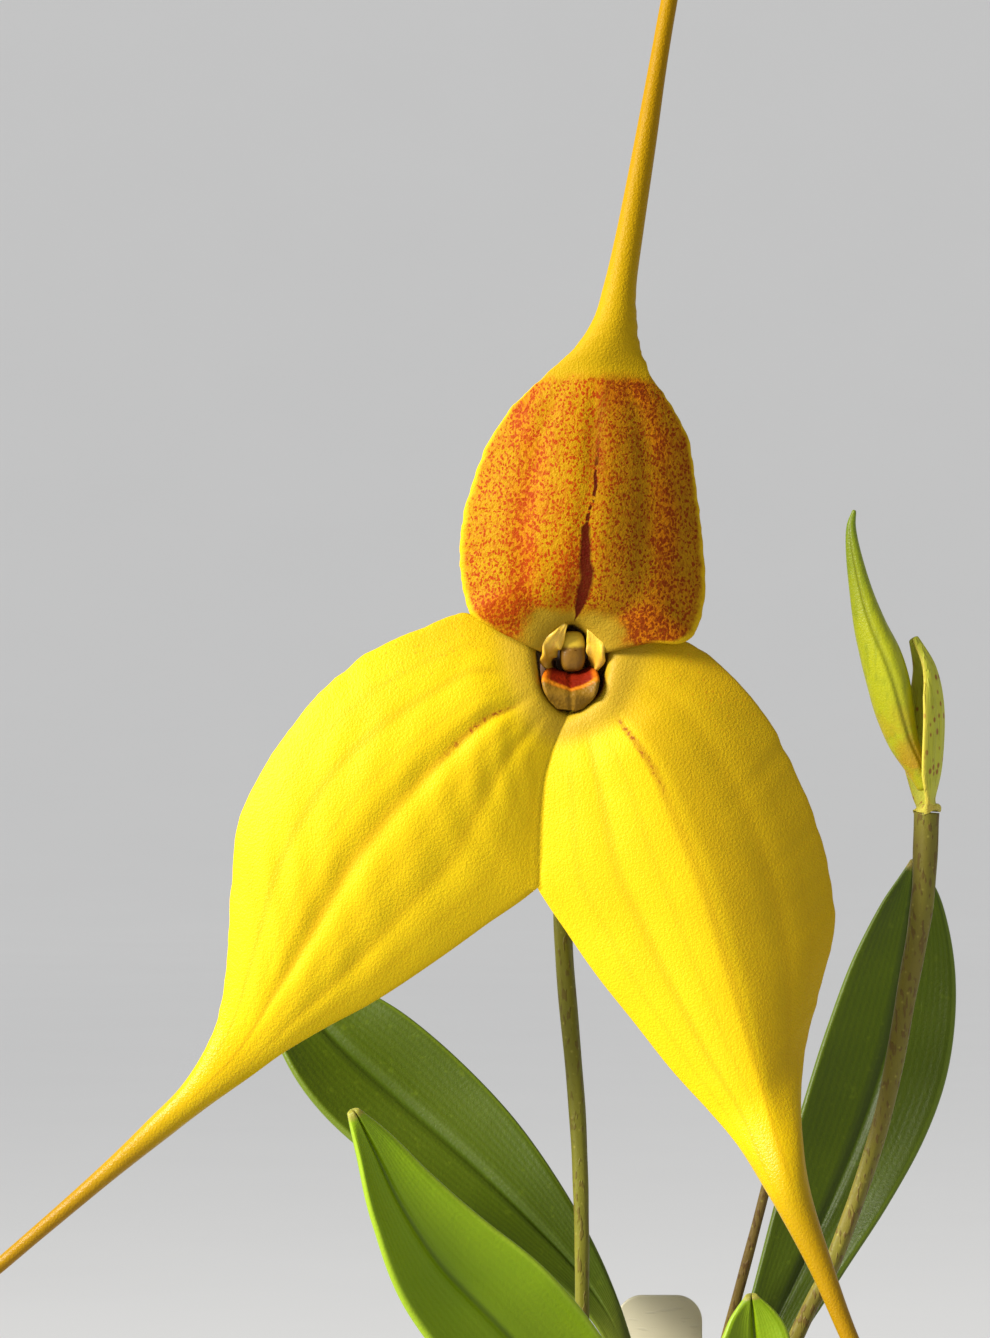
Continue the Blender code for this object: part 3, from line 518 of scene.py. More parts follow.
def lay_skin(name, rings, marks, fold, open_wall=None):
    """Add a grid and lay it on the rings, so that it closes into a tube with shut ends."""
    rows, around = rings.shape[:2]
    deselect()
    bpy.ops.mesh.primitive_grid_add(x_subdivisions=around, y_subdivisions=rows - 1, size=1.0,
                                    location=(0, 0, 0))
    piece = bpy.context.object
    piece.name = name
    piece.data.name = name
    piece.data.vertices.foreach_set("co", (np.concatenate([rings, rings[:, :1]], axis=1) * MM).ravel())
    for mark, values in marks.items():
        store(piece, mark, np.concatenate([values, values[:, :1]], axis=1).ravel())
    shell = bmesh.new()
    shell.from_mesh(piece.data)
    close_ends(shell, rows, around, fold)
    if open_wall:
        last_row, columns = open_wall
        shell.verts.ensure_lookup_table()
        walls = set()
        for row in range(last_row):
            for column in columns:
                corner = shell.verts[row * (around + 1) + column % around]
                across = shell.verts[(row + 1) * (around + 1) + (column + 1) % around]
                walls |= set(corner.link_faces) & set(across.link_faces)
        bmesh.ops.delete(shell, geom=list(walls), context="FACES_ONLY")
    shell.to_mesh(piece.data)
    shell.free()
    return piece


def settle(piece, paint, slot, *nodes):
    """Merge what meets, shade smooth, paint, and let the piece stand for its solids."""
    deselect()
    piece.select_set(True)
    bpy.context.view_layer.objects.active = piece
    bpy.ops.object.mode_set(mode="EDIT")
    bpy.ops.mesh.select_mode(type="VERT")
    bpy.ops.mesh.select_all(action="SELECT")
    bpy.ops.mesh.remove_doubles(threshold=1e-6)
    bpy.ops.mesh.select_all(action="DESELECT")
    bpy.ops.object.mode_set(mode="OBJECT")
    bpy.ops.object.shade_smooth()
    piece.data.materials.clear()
    piece.data.materials.append(paint)
    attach(piece, "root")
    if nodes:
        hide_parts(*nodes)
    print(piece.name + ":", len(piece.data.polygons), "faces")
    return piece


def keep_edges(piece, degrees):
    """Shade smooth all but the edges that turn by more than so many degrees."""
    deselect()
    piece.select_set(True)
    bpy.ops.object.shade_smooth_by_angle(angle=math.radians(degrees))


print("ready to lay skins")

# %% [markdown]
# ## Paint of the hood
# The upper sepal is gold and thickly dotted with brick red, which runs together along its sides;
# its right half, dots and all, is painted darker as painted shade. A dark stripe climbs from a
# plain tan throat, and the tip and the downy rim are pale, with hardly a dot; the rim's paleness is
# partly a painted highlight. An image could be projected on it, but it would stretch at the sides.
# Masks of where a point is across and along follow the tissue wherever it bends.

# %% Hood paint
def downy(look, depth=0.05):
    """The fine bloom of cells that keeps tissue from looking waxed."""
    grain = look.noise(0.16, 2.0) + 0.7 * look.cells(0.3)
    return look.relief(grain, depth)


WAVER = 0.9                     # how far the dots are drawn out of round


def hood_paint():
    look = Finish("dotted_gold_tissue", roughness=0.5, subsurface_weight=0.04, subsurface_scale=0.0006,
                  subsurface_radius=(1.0, 0.45, 0.1), specular_ior_level=0.05)
    across, along, behind = look.mark("across"), look.mark("along"), look.mark("behind")
    side = abs(across)
    drift = look.noise(4.0)
    fine = look.noise(0.9, 2.0)
    ragged = along + 0.5 * (fine - 0.5)
    # painted shade: the right half, turned away from the key light, is painted darker
    right_painted_shade = look.step(across, -0.1, 0.35)
    rim = look.step(side + 0.05 * (fine - 0.5), 0.93, 0.985) * look.step(along, 2.8, 3.8)

    # where the red gathers
    left_band = look.band(across + 0.36 * look.step(along, 8.0, 10.2), -0.5, 0.2)
    right_band = look.band(across, 0.66, 0.17)
    by_stripe = look.band(across, -0.1, 0.2) * look.span(along, (2.4, 3.4), (4.8, 6.8))
    lobes = look.step(side, 0.45, 0.75) * (1 - look.step(along, 4.0, 4.9))
    crown = look.step(along, 9.4, 10.4) * look.band(across, 0.35, 0.7)
    red = 0.75 * left_band + 0.6 * right_band + 0.8 * by_stripe + lobes + 0.7 * crown + 1.3 * (drift - 0.5)
    red = red.most(0.0).least(1.0)
    gold = look.mix(drift, (0.38, 0.205, 0.002), (0.33, 0.150, 0.001))
    # painted shade darkens the gold on the right half
    gold = look.mix(right_painted_shade * 0.65, gold, (0.21, 0.083, 0.001))
    flushed = look.mix(red * 0.6, gold, (0.42, 0.090, 0.001))

    # dots
    push = look.node("ShaderNodeTexNoise", None, {"Vector": look.place(), "Scale": 1 / (0.7 * MM)}, output=1)
    spot = look.cells(0.38, look.node("ShaderNodeVectorMath", {"operation": "MULTIPLY_ADD"},
                                      {0: push, 1: (WAVER * MM,) * 3, 2: look.stretched(1.0, 1.0, 0.8)}))
    dots = 1 - look.step(spot / (0.41 + 0.16 * red + 0.36 * (fine - 0.5)), 0.7, 1.2)
    worms = look.step(look.noise(0.34, 1.0, vector=look.stretched(1.0, 1.0, 0.6)), 0.50, 0.62)
    speck = dots.most(worms * (0.4 + 0.5 * red))
    field = look.step(ragged - 0.55 * look.band(side, 0.5, 0.4), 2.4, 2.9)
    field = field * (1 - look.step(ragged, 10.6, 11.1)) * (1 - rim * 0.85)
    # the dots are painted darker on the right half too, as painted shade
    brick = look.mix(right_painted_shade, (0.28, 0.034, 0.001), (0.16, 0.024, 0.001))
    skin = look.mix(speck * field, look.mix(field, gold, flushed), brick)

    # throat, tip, tail and rim
    throat = 1 - look.step(ragged - 0.5 * look.band(side, 0.5, 0.45), 2.2, 2.9)
    skin = look.mix(throat * 0.9, skin, (0.30, 0.19, 0.012))
    skin = look.mix(look.step(ragged, 10.6, 11.2), skin, (0.36, 0.225, 0.002))
    skin = look.mix(look.step(along, 13.0, 17.0) * 0.85, skin, (0.26, 0.135, 0.001))
    # pale downy rim, partly a painted highlight where light shines through the thin edge
    skin = look.mix(rim * (1 - look.step(along, 11.0, 13.0)) * 0.8, skin, (0.56, 0.37, 0.005))

    # stripe
    wander = 0.05 * (1 - look.step(along, 4.4, 6.2)) + 0.04 * look.step(along, 6.4, 7.6) \
        + 0.17 * look.step(along, 9.0, 11.0) + 0.05 * (look.noise(1.6, 1.0) - 0.5)
    foot = (0.024 + 0.03 * (1 - look.step(along, 4.4, 6.0))) * (1 - look.step(along, 6.2, 6.4))
    width = (0.015 + foot) * (0.15 + 0.85 * look.step(along, 2.1, 3.0))
    # painted shade in the groove above the stripe, where the stripe fades
    shadowy = look.band(across, wander, 0.14) * look.span(along, (6.5, 8.5), (10.4, 11.0))
    skin = look.mix(shadowy * 0.45, skin, (0.17, 0.035, 0.001))
    broken = 1 - look.step(along, 6.3, 6.5) * look.step(look.noise(0.8, 1.0), 0.56, 0.64)
    near = 1 - look.step(abs(across - wander + 0.012 * (fine - 0.5)) / width, 0.6, 1.3)
    faded = 1 - 0.8 * look.step(along, 7.8, 9.0)
    stripe = near * broken * faded * look.span(along, (1.9, 2.2), (10.2, 10.8))
    skin = look.mix(stripe * 0.97, skin, (0.055, 0.002, 0.0))

    # back
    vein = look.band(side, 0.5, 0.06).most(look.band(across, 0.0, 0.06))
    outside = look.mix(drift, (0.50, 0.35, 0.02), (0.44, 0.30, 0.02))
    outside = look.mix(vein * 0.5, outside, (0.28, 0.23, 0.02))
    outside = look.mix(look.step(along, 12.0, 16.0), outside, (0.40, 0.19, 0.002))
    skin = look.mix(look.step(behind, 0.3, 0.7), skin, outside)
    gloss = 0.52 - 0.16 * look.step(along, 12.0, 15.0) + 0.12 * (fine - 0.5)
    return look.wear(skin, gloss, downy(look, 0.06))


print("hood paint ready")

# %% [markdown]
# ## Paint of the lower sepals
# The two lower sepals are clear lemon yellow; the right one's outer half, turned from the light, is
# painted a little deeper as painted shade. Their veins sit in shallow valleys, painted deeper in
# colour partly as painted shade, and the first stretch of each midrib is freckled brown. The mouth is
# tan with a dark red crescent low in it, and the tails turn to ochre and look moist. The pale rim
# is partly a painted highlight.

# %% Lower sepal paint
def lemon_paint():
    look = Finish("lemon_tissue", roughness=0.5, subsurface_weight=0.1, subsurface_scale=0.001,
                  subsurface_radius=(1.0, 0.6, 0.08), specular_ior_level=0.12)
    outward, along, behind = look.mark("outward"), look.mark("along"), look.mark("behind")
    side = abs(outward)
    drift = look.noise(6.0)
    fine = look.noise(0.7, 2.0)
    lemon = look.mix(drift, (0.60, 0.435, 0.002), (0.56, 0.37, 0.001))
    # the vein valleys are painted deeper: partly darker veins, partly painted shade in the valleys
    vein = look.band(outward, 0.0, 0.075).most(0.6 * look.band(side, 0.5, 0.07))
    minor_veins_and_shade = look.band(side, 0.25, 0.05).most(look.band(side, 0.74, 0.05))
    on_blade = look.span(along, (2.6, 3.6), (13.0, 16.0))
    skin = look.mix(vein * on_blade * 0.5, lemon, (0.38, 0.21, 0.001))
    skin = look.mix(minor_veins_and_shade * on_blade * 0.15, skin, (0.38, 0.21, 0.001))
    # painted shade: the right sepal's outer half, turned from the light, is painted deeper
    outer_painted_shade = look.step(outward, -0.02, 0.16) * look.mark("tone") * (1 - look.step(along, 12.0, 15.0))
    skin = look.mix(outer_painted_shade * 0.7, skin, (0.39, 0.235, 0.001))
    freckle = look.step(look.noise(0.45, 1.0), 0.54, 0.62)
    midrib = look.band(outward, 0.0, 0.055) * look.span(along, (2.4, 3.2), (4.6, 6.0))
    skin = look.mix(midrib * (0.35 + 0.65 * freckle), skin, (0.26, 0.075, 0.003))
    peppered = (1 - look.step(look.cells(0.7), 0.16, 0.26)) * look.step(outward, 0.45, 0.8) \
        * look.span(along, (3.2, 4.0), (5.0, 6.4))
    skin = look.mix(peppered * 0.5, skin, (0.46, 0.17, 0.002))
    shoulder = look.step(outward, 0.55, 0.95) * (1 - look.step(along, 4.4, 6.2))
    skin = look.mix(shoulder * 0.4, skin, (0.42, 0.24, 0.002))
    tail = look.step(along + 0.8 * (drift - 0.5), 11.6, 17.0)
    skin = look.mix(tail, skin, (0.27, 0.145, 0.001))
    skin = look.mix(look.step(along, 17.0, 20.0) * 0.6, skin, (0.20, 0.095, 0.001))
    mouth = 1 - look.step(along, 2.5, 3.4)
    skin = look.mix(mouth * 0.8, skin, (0.34, 0.215, 0.012))
    crescent = (1 - look.step(along, 1.75, 2.1)) * look.span(outward, (-0.95, -0.7), (0.1, 0.5))
    skin = look.mix(crescent, skin, (0.10, 0.008, 0.002))
    # a paler rim, partly pale fuzz and partly a painted highlight along the edge
    rim = look.step(side + 0.04 * (fine - 0.5), 0.955, 0.99)
    skin = look.mix(rim * on_blade * 0.3, skin, (0.50, 0.33, 0.004))
    back_vein = look.band(side, 0.5, 0.06).most(look.band(outward, 0.0, 0.06))
    outside = look.mix(drift, (0.60, 0.46, 0.02), (0.54, 0.40, 0.02))
    outside = look.mix(back_vein * on_blade * 0.5, outside, (0.34, 0.29, 0.02))
    outside = look.mix(tail, outside, (0.40, 0.21, 0.002))
    skin = look.mix(look.step(behind, 0.3, 0.7), skin, outside)
    gloss = 0.5 - 0.2 * look.step(along, 10.5, 13.5) + 0.12 * (fine - 0.5)
    return look.wear(skin, gloss, downy(look, 0.05))


print("lower sepal paint ready")

# %% [markdown]
# ## The hood
# The upper sepal bulges towards the viewer along its middle, curls back at both sides and rolls
# up into a tail nearly twice as long as its blade. Grooves follow its veins and the rim is
# slightly uneven, as tissue that grew is.

# %% Hood
BLOOM = np.array([-9.8, -22.0, 160.1])      # the middle of the mouth
SEPAL_HALF = 0.4
DORSAL = (
    ((-2.5, 12.0, 1.2), (0.0, 12.0, 3.6), (2.5, 12.0, 1.2)),
    ((-2.9, 6.0, 1.6), (0.0, 6.0, 4.6), (3.0, 6.0, 1.4)),
    ((-3.4, 1.5, 1.7), (0.2, 1.5, 5.1), (3.8, 1.5, 1.5)),
    ((-7.8, 0.3, 3.8), (0.5, -0.3, 6.9), (8.4, 0.3, 2.5)),
    ((-10.7, 0.3, 5.4), (0.9, -1.6, 9.0), (12.3, 0.2, 2.6)),
    ((-11.8, 1.2, 7.4), (1.2, -2.3, 11.6), (14.3, 1.2, 4.6)),
    ((-12.4, 1.6, 11.2), (1.5, -2.6, 14.6), (15.0, 1.8, 9.0)),
    ((-12.2, 1.6, 15.6), (2.0, -2.6, 18.2), (14.7, 1.8, 14.4)),
    ((-11.1, 1.5, 20.2), (2.3, -2.3, 21.9), (14.0, 1.6, 19.8)),
    ((-9.3, 1.2, 24.8), (2.5, -1.9, 25.8), (13.1, 1.3, 25.2)),
    ((-6.4, 0.9, 29.0), (2.6, -1.3, 29.6), (11.1, 0.9, 29.2)),
    ((-3.2, 0.7, 32.1), (2.9, -0.7, 32.6), (9.0, 0.7, 32.1)),
    ((0.2, 0.6, 35.1), (4.0, -0.2, 35.4), (7.8, 0.6, 35.1)),
    ((2.5, 0.7, 38.4), (4.8, 0.2, 38.4), (7.2, 0.7, 38.4)),
    ((3.6, 0.9, 42.0), (5.4, 0.7, 42.0), (7.2, 0.9, 42.0)),
    ((5.0, 1.4, 48.0), (6.5, 1.3, 48.0), (8.0, 1.4, 48.0)),
    ((6.9, 2.1, 57.5), (8.1, 2.1, 57.5), (9.4, 2.1, 57.5)),
    ((8.8, 2.9, 67.5), (9.8, 2.9, 67.5), (10.8, 2.9, 67.5)),
    ((10.7, 3.6, 77.5), (11.6, 3.6, 77.5), (12.5, 3.6, 77.5)),
    ((12.9, 4.2, 87.5), (13.6, 4.2, 87.5), (14.3, 4.2, 87.5)),
    ((15.5, 4.6, 97.0), (15.9, 4.6, 97.0), (16.3, 4.6, 97.0)),
)
DORSAL_TAIL = (11, 14)
BLADE_ROWS = 11                 # rows to each station of a blade
TAIL_ROWS = 9


def sepal_reads(count, tail):
    """Station numbers of the rows, closer together on the blade than on the tail."""
    blade = np.arange(tail * BLADE_ROWS) / BLADE_ROWS
    return np.concatenate([blade, np.linspace(tail, count - 1, (count - 1 - tail) * TAIL_ROWS + 1)])


def valleys(across, middle, sides, width=0.1):
    """The lengthwise grooves over the middle vein and the side veins, so many millimetres deep."""
    total = middle * np.exp(-(across / width) ** 2)
    for place, depth in zip((-0.5, 0.5), sides):
        total = total + depth * np.exp(-((across - place) / width) ** 2)
    return -total


def sepal_relief(fade, seed, ripple, middle, sides):
    """Grooves, gentle waves, and a rim that isn't quite even."""
    def relief(across, along, behind):
        blade = soft_step(along, 2.0, 4.0) * (1 - soft_step(along, *fade))
        inside = 1 - across ** 8
        fine = 0.03 * waves(across * 4, along * 3, seed + 1)
        uneven = inside * (ripple * waves(across, along, seed) + fine)
        return blade * (valleys(across, middle, sides) + uneven)
    return relief


def ragged_rim(reads, seed, size, start, end):
    """How far the rim stands out at each row: a smoothed random draw, and none near the ends."""
    draw = np.random.default_rng(seed).normal(0, size, len(reads))
    smooth = np.convolve(draw, (0.3, 0.4, 0.3), "same")
    return smooth * (1 - soft_step(reads, *end)) * soft_step(reads, *start)


def hood():
    first, middle, second = (np.array([row[k] for row in DORSAL]) for k in range(3))
    reads = sepal_reads(len(DORSAL), DORSAL_TAIL[1])
    lines = [curve(points, reads) + BLOOM for points in (first, middle, second)]
    ragged = ragged_rim(reads, 3, 0.09, (2.5, 3.5), (11, 13))
    lines[0] = lines[0] - unit(lines[2] - lines[0]) * ragged[:, None]
    lines[2] = lines[2] + unit(lines[2] - lines[0]) * np.roll(ragged, 17)[:, None]
    rings, marks = blade_rings(*lines, reads, SEPAL_HALF, soft_step(reads, *DORSAL_TAIL),
                               sepal_relief((8.5, 11.5), 11, 0.1, 0.4, (0.22, 0.22)), sharp=0.3)
    rings, marks = domed(rings, marks, last=0.35)
    return settle(lay_skin("hood", rings, marks, BLADE_FOLD), hood_paint(), "orange_sepal", "dorsal_sepal")


hood()

# %% [markdown]
# ## The lower sepals
# The two lower sepals have grown together from the tube down to a notch. Each is laid as the
# hood was, but its inner rim is left square and without a wall down to the notch, so that both
# skins merge there into one. Below the notch the rim is rounded again.

# %% Lower sepals
SEAM = (
    (-0.1, 12.0, -3.5), (-0.2, 6.0, -4.5), (-0.5, 2.0, -5.4), (-1.9, 1.2, -8.4),
    (-3.0, 1.0, -12.0), (-3.4, 1.2, -16.0), (-3.6, 1.5, -20.2), (-3.7, 1.8, -24.2),
)
LEFT_LATERAL = (
    ((-2.9, 12.0, 2.4), (-2.9, 12.0, -1.9)),
    ((-3.6, 6.0, 3.0), (-3.3, 6.0, -2.2)),
    ((-4.3, 2.4, 3.6), (-3.25, 1.3, -2.3)),
    ((-8.4, 2.3, 4.9), (-6.3, 0.2, -4.2)),
    ((-11.9, 2.7, 6.2), (-9.4, -0.8, -5.6)),
    ((-17.2, 2.4, 4.3), (-12.8, -1.3, -8.5)),
    ((-23.2, 2.2, 1.3), (-16.6, -1.5, -12.3)),
    ((-28.4, 2.2, -3.2), (-20.4, -1.4, -16.5)),
    ((-33.4, 2.4, -10.0), (-24.5, -1.0, -21.9), (-9.6, 1.8, -28.7)),
    ((-36.7, 2.8, -16.3), (-27.4, -0.3, -26.9), (-15.6, 2.0, -33.0)),
    ((-37.6, 3.2, -23.1), (-30.1, 0.5, -31.6), (-21.5, 2.4, -36.9)),
    ((-38.0, 3.6, -30.0), (-32.9, 1.5, -36.2), (-27.0, 2.9, -39.9)),
    ((-38.6, 4.0, -36.0), (-35.3, 2.7, -40.2), (-31.5, 3.6, -42.6)),
    ((-40.0, 4.6, -41.0), (-37.9, 3.9, -43.7), (-35.3, 4.4, -45.3)),
    ((-43.0, 5.5, -46.1), (-41.8, 5.2, -47.6), (-40.3, 5.4, -48.8)),
    ((-47.0, 6.6, -50.3), (-46.1, 6.5, -51.4), (-45.1, 6.6, -52.5)),
    ((-52.2, 8.0, -55.4), (-51.5, 8.0, -56.2), (-50.8, 8.0, -57.0)),
    ((-59.7, 9.8, -62.2), (-59.1, 9.8, -62.8), (-58.5, 9.8, -63.4)),
    ((-67.5, 11.4, -68.9), (-67.0, 11.4, -69.5), (-66.5, 11.4, -70.1)),
    ((-76.1, 12.8, -75.4), (-75.7, 12.8, -76.0), (-75.3, 12.8, -76.6)),
    ((-84.8, 13.8, -81.2), (-84.5, 13.8, -81.6), (-84.2, 13.8, -82.0)),
)
RIGHT_LATERAL = (
    ((2.9, 12.0, 2.4), (2.9, 12.0, -1.9)),
    ((3.7, 6.0, 2.9), (3.3, 6.0, -2.3)),
    ((4.7, 2.4, 3.4), (3.45, 1.3, -2.8)),
    ((9.2, 2.3, 3.6), (5.3, 0.2, -5.8)),
    ((13.4, 2.9, 2.9), (7.3, -1.0, -8.4)),
    ((17.9, 3.2, -0.6), (9.3, -1.7, -11.6)),
    ((21.7, 3.6, -5.2), (11.2, -2.2, -16.0)),
    ((24.7, 3.9, -10.8), (13.3, -2.5, -20.8)),
    ((27.1, 4.0, -16.3), (15.1, -2.7, -25.8), (-0.5, 1.6, -29.3)),
    ((28.8, 4.0, -22.5), (16.7, -2.8, -31.1), (2.8, 1.3, -34.0)),
    ((29.4, 3.7, -28.5), (18.3, -2.9, -36.3), (6.8, 0.9, -39.0)),
    ((28.1, 3.0, -34.0), (19.7, -3.0, -41.4), (10.9, 0.3, -44.2)),
    ((26.5, 1.7, -39.6), (21.0, -3.2, -46.0), (15.0, -0.6, -48.7)),
    ((25.4, 0.0, -45.2), (22.1, -3.4, -50.6), (18.3, -1.6, -52.5)),
    ((25.1, -1.7, -50.6), (23.3, -3.8, -54.8), (21.0, -2.9, -56.6)),
    ((26.1, -3.6, -57.2), (24.8, -4.4, -59.4), (23.1, -4.1, -60.3)),
    ((28.6, -5.3, -65.4), (27.4, -5.5, -65.8), (26.2, -5.4, -66.2)),
    ((31.5, -6.8, -73.4), (30.6, -6.8, -73.7), (29.7, -6.8, -74.0)),
    ((35.4, -8.2, -81.6), (34.7, -8.2, -82.0), (34.0, -8.2, -82.4)),
    ((40.2, -9.4, -88.8), (39.7, -9.4, -89.3), (39.2, -9.4, -89.8)),
    ((46.1, -10.4, -94.7), (45.8, -10.4, -95.1), (45.5, -10.4, -95.5)),
)
LATERAL_TAIL = (12, 16)
NOTCH = len(SEAM) - 1


def lateral(table, inner_first, seed, sharp, middle_groove, side_grooves):
    """Rings and marks of one lower sepal, its seam still open."""
    reads = sepal_reads(len(table), LATERAL_TAIL[1])
    outer = curve([row[0] for row in table], reads) + BLOOM
    middle = curve([row[1] for row in table], reads) + BLOOM
    inner = curve(list(SEAM) + [row[2] for row in table[len(SEAM):]], reads) + BLOOM
    ragged = ragged_rim(reads, seed, 0.08, (3.0, 4.0), (12, 14))
    outer = outer + unit(outer - inner) * ragged[:, None]
    openness = 1 - soft_step(reads, NOTCH, NOTCH + 0.6)
    ends = (inner, middle, outer) if inner_first else (outer, middle, inner)
    opened = {"open_first": openness} if inner_first else {"open_second": openness}
    rings, marks = blade_rings(*ends, reads, SEPAL_HALF, soft_step(reads, *LATERAL_TAIL),
                               sepal_relief((9.0, 12.5), seed, 0.08, middle_groove, side_grooves),
                               sharp=sharp, **opened)
    marks["outward"] = marks["across"] * (1 if inner_first else -1)
    # tone 1 marks the right sepal, whose outer half is painted darker as painted shade
    marks["tone"] = np.full_like(marks["across"], 0.0 if inner_first else 1.0)
    return rings, marks


def fuse(left, right, fused):
    """Give both sepals the same points down the seam, front and back."""
    around = left.shape[1]
    pairs = [(0, FLAT - 1)]
    pairs += [((around - 1 - k) % around, FLAT + k) for k in range(RIM)]
    pairs += [(2 * FLAT + RIM - 1, FLAT + RIM)]
    for a, b in pairs:
        shared = (left[:fused + 1, a] + right[:fused + 1, b]) / 2
        left[:fused + 1, a] = shared
        right[:fused + 1, b] = shared


def lower_sepals():
    left, left_marks = lateral(LEFT_LATERAL, True, 23, 0.0, 0.5, (0.2, 0.08))
    right, right_marks = lateral(RIGHT_LATERAL, False, 31, 0.45, 0.05, (0.12, 0.14))
    fused = NOTCH * BLADE_ROWS
    fuse(left, right, fused)
    left, left_marks = domed(left, left_marks, last=0.35)
    right, right_marks = domed(right, right_marks, last=0.35)
    seam_left = range(2 * FLAT + RIM - 1, 2 * FLAT + 2 * RIM)
    seam_right = range(FLAT - 1, FLAT + RIM)
    one = lay_skin("lower_sepals", left, left_marks, BLADE_FOLD, (fused, seam_left))
    two = lay_skin("right_sepal", right, right_marks, BLADE_FOLD, (fused, seam_right))
    deselect()
    one.select_set(True)
    two.select_set(True)
    bpy.context.view_layer.objects.active = one
    bpy.ops.object.join()
    return settle(one, lemon_paint(), "yellow_sepal", "lateral_sepals")


lower_sepals()

# %% [markdown]
# ## Inside the mouth
# Two small petals stand like curtains on both sides of the column, whose pale cap sits over a
# brown face. The lip below is a dark red saddle that curls down in front and turns tan there.
# Petals and lip are laid as narrow blades and the column as a rod, each along its own path; a
# primitive pushed into shape would be slower to place in so small a mouth.

# %% Mouth pieces
PETAL_PATHS = {
    "petal_left": ((-1.5, 12.2, 0.5), (-1.8, 7.0, 0.5), (-2.1, 3.8, 0.5), (-2.2, 2.3, 1.5), (-1.8, 1.4, 2.8),
                   (-0.6, 1.0, 4.7)),
    "petal_right": ((1.5, 12.2, 0.5), (1.9, 7.0, 0.5), (2.3, 3.8, 0.2), (2.6, 2.3, 1.2), (2.7, 1.5, 2.8),
                    (2.0, 1.1, 5.0)),
}
PETAL_HALF_WIDTHS = (0.6, 0.75, 0.9, 1.05, 0.95, 0.2)
PETAL_HALF = 0.3
LIP_PATH = ((0.0, 12.2, -1.5), (0.0, 7.0, -1.3), (0.0, 4.4, -0.4), (0.0, 2.6, -0.9), (0.0, 1.2, -1.9),
            (0.0, 0.5, -2.9), (0.0, 0.7, -3.8), (0.0, 1.2, -4.6))
LIP_HALF_WIDTHS = (0.9, 1.7, 2.3, 2.8, 3.0, 2.8, 2.5, 1.8)
LIP_DISH = (0.1, 0.2, 0.28, 0.3, 0.3, 0.1, -0.1, -0.2)
LIP_HALF = 0.35
COLUMN_PATH = ((0.0, 12.2, 0.6), (0.1, 8.0, 1.0), (0.2, 5.0, 1.6), (0.25, 2.6, 1.9))
COLUMN_RADII = (0.9, 1.1, 1.45, 1.45)
COLUMN_TALLER = 0.62            # how much taller than wide the column's front is
OVARY_PATH = ((0.0, 12.6, 0.0), (0.0, 13.3, 0.0), (0.0, 14.2, 0.0), (0.0, 15.3, -0.3), (-0.1, 16.8, -1.9),
              (-0.4, 17.9, -6.0), (-0.6, 18.2, -12.2))
OVARY_RADII = (3.9, 3.6, 2.6, 2.0, 1.75, 1.45, 1.05)


def in_bloom(points):
    """Points of the mouth's own frame put into the plant's frame."""
    return [tuple(np.array(point) + BLOOM) for point in points]


def strap_lines(path, half_widths, facings, folds, reads):
    """Both edges and the middle line of a leaf, bract or petal."""
    last = len(path) - 1
    middle = curve(path, reads)
    widths = np.clip(curve([(w, 0, 0) for w in half_widths], reads)[:, 0], min(half_widths), None)
    fold = np.interp(reads, np.linspace(0, last, len(folds)), folds)
    along = unit(np.gradient(middle, axis=0))
    share = (reads / last)[:, None]
    facing = np.array(facings[0]) * (1 - share) + np.array(facings[1]) * share
    facing = unit(facing - along * np.sum(facing * along, axis=1)[:, None])
    side = np.cross(along, facing) * widths[:, None]
    lift = facing * (fold * widths)[:, None]
    return middle - side + lift, middle, middle + side + lift


def strap(name, path, half_widths, facings, folds, half_thickness, roundness, relief, rows, flat, tip):
    """Lay a narrow blade and give its marks along from 0 at its foot to 1 at its tip."""
    reads = np.linspace(0, len(path) - 1, rows)
    lines = strap_lines(path, half_widths, facings, folds, reads)
    rings, marks = blade_rings(*lines, reads, half_thickness, roundness(reads), relief, flat=flat)
    marks["along"] = marks["along"] / (len(path) - 1)
    rings, marks = domed(rings, marks, last=tip)
    return lay_skin(name + "_skin", rings, marks, 2 * flat + RIM - 1)


def petal_paint():
    look = Finish("petal_tissue", roughness=0.45, subsurface_weight=0.15, subsurface_scale=0.0006,
                  subsurface_radius=(1.0, 0.5, 0.1))
    across, along = look.mark("across"), look.mark("along")
    skin = look.mix(look.step(along, 0.45, 0.85), (0.44, 0.22, 0.01), (0.60, 0.37, 0.02))
    skin = look.mix(look.band(across, 0.0, 0.3) * 0.4, skin, (0.46, 0.21, 0.01))
    skin = look.mix(look.step(look.noise(0.8), 0.5, 0.7) * 0.3, skin, (0.66, 0.46, 0.05))
    return look.wear(skin, 0.42 + 0.1 * look.noise(0.5), downy(look, 0.03))


def wavy_petal(across, along, behind):
    """A petal whose edges ripple."""
    return 0.22 * across ** 2 * np.sin(5.0 * along + 2.5 * across) + 0.05 * waves(across, along, 5)


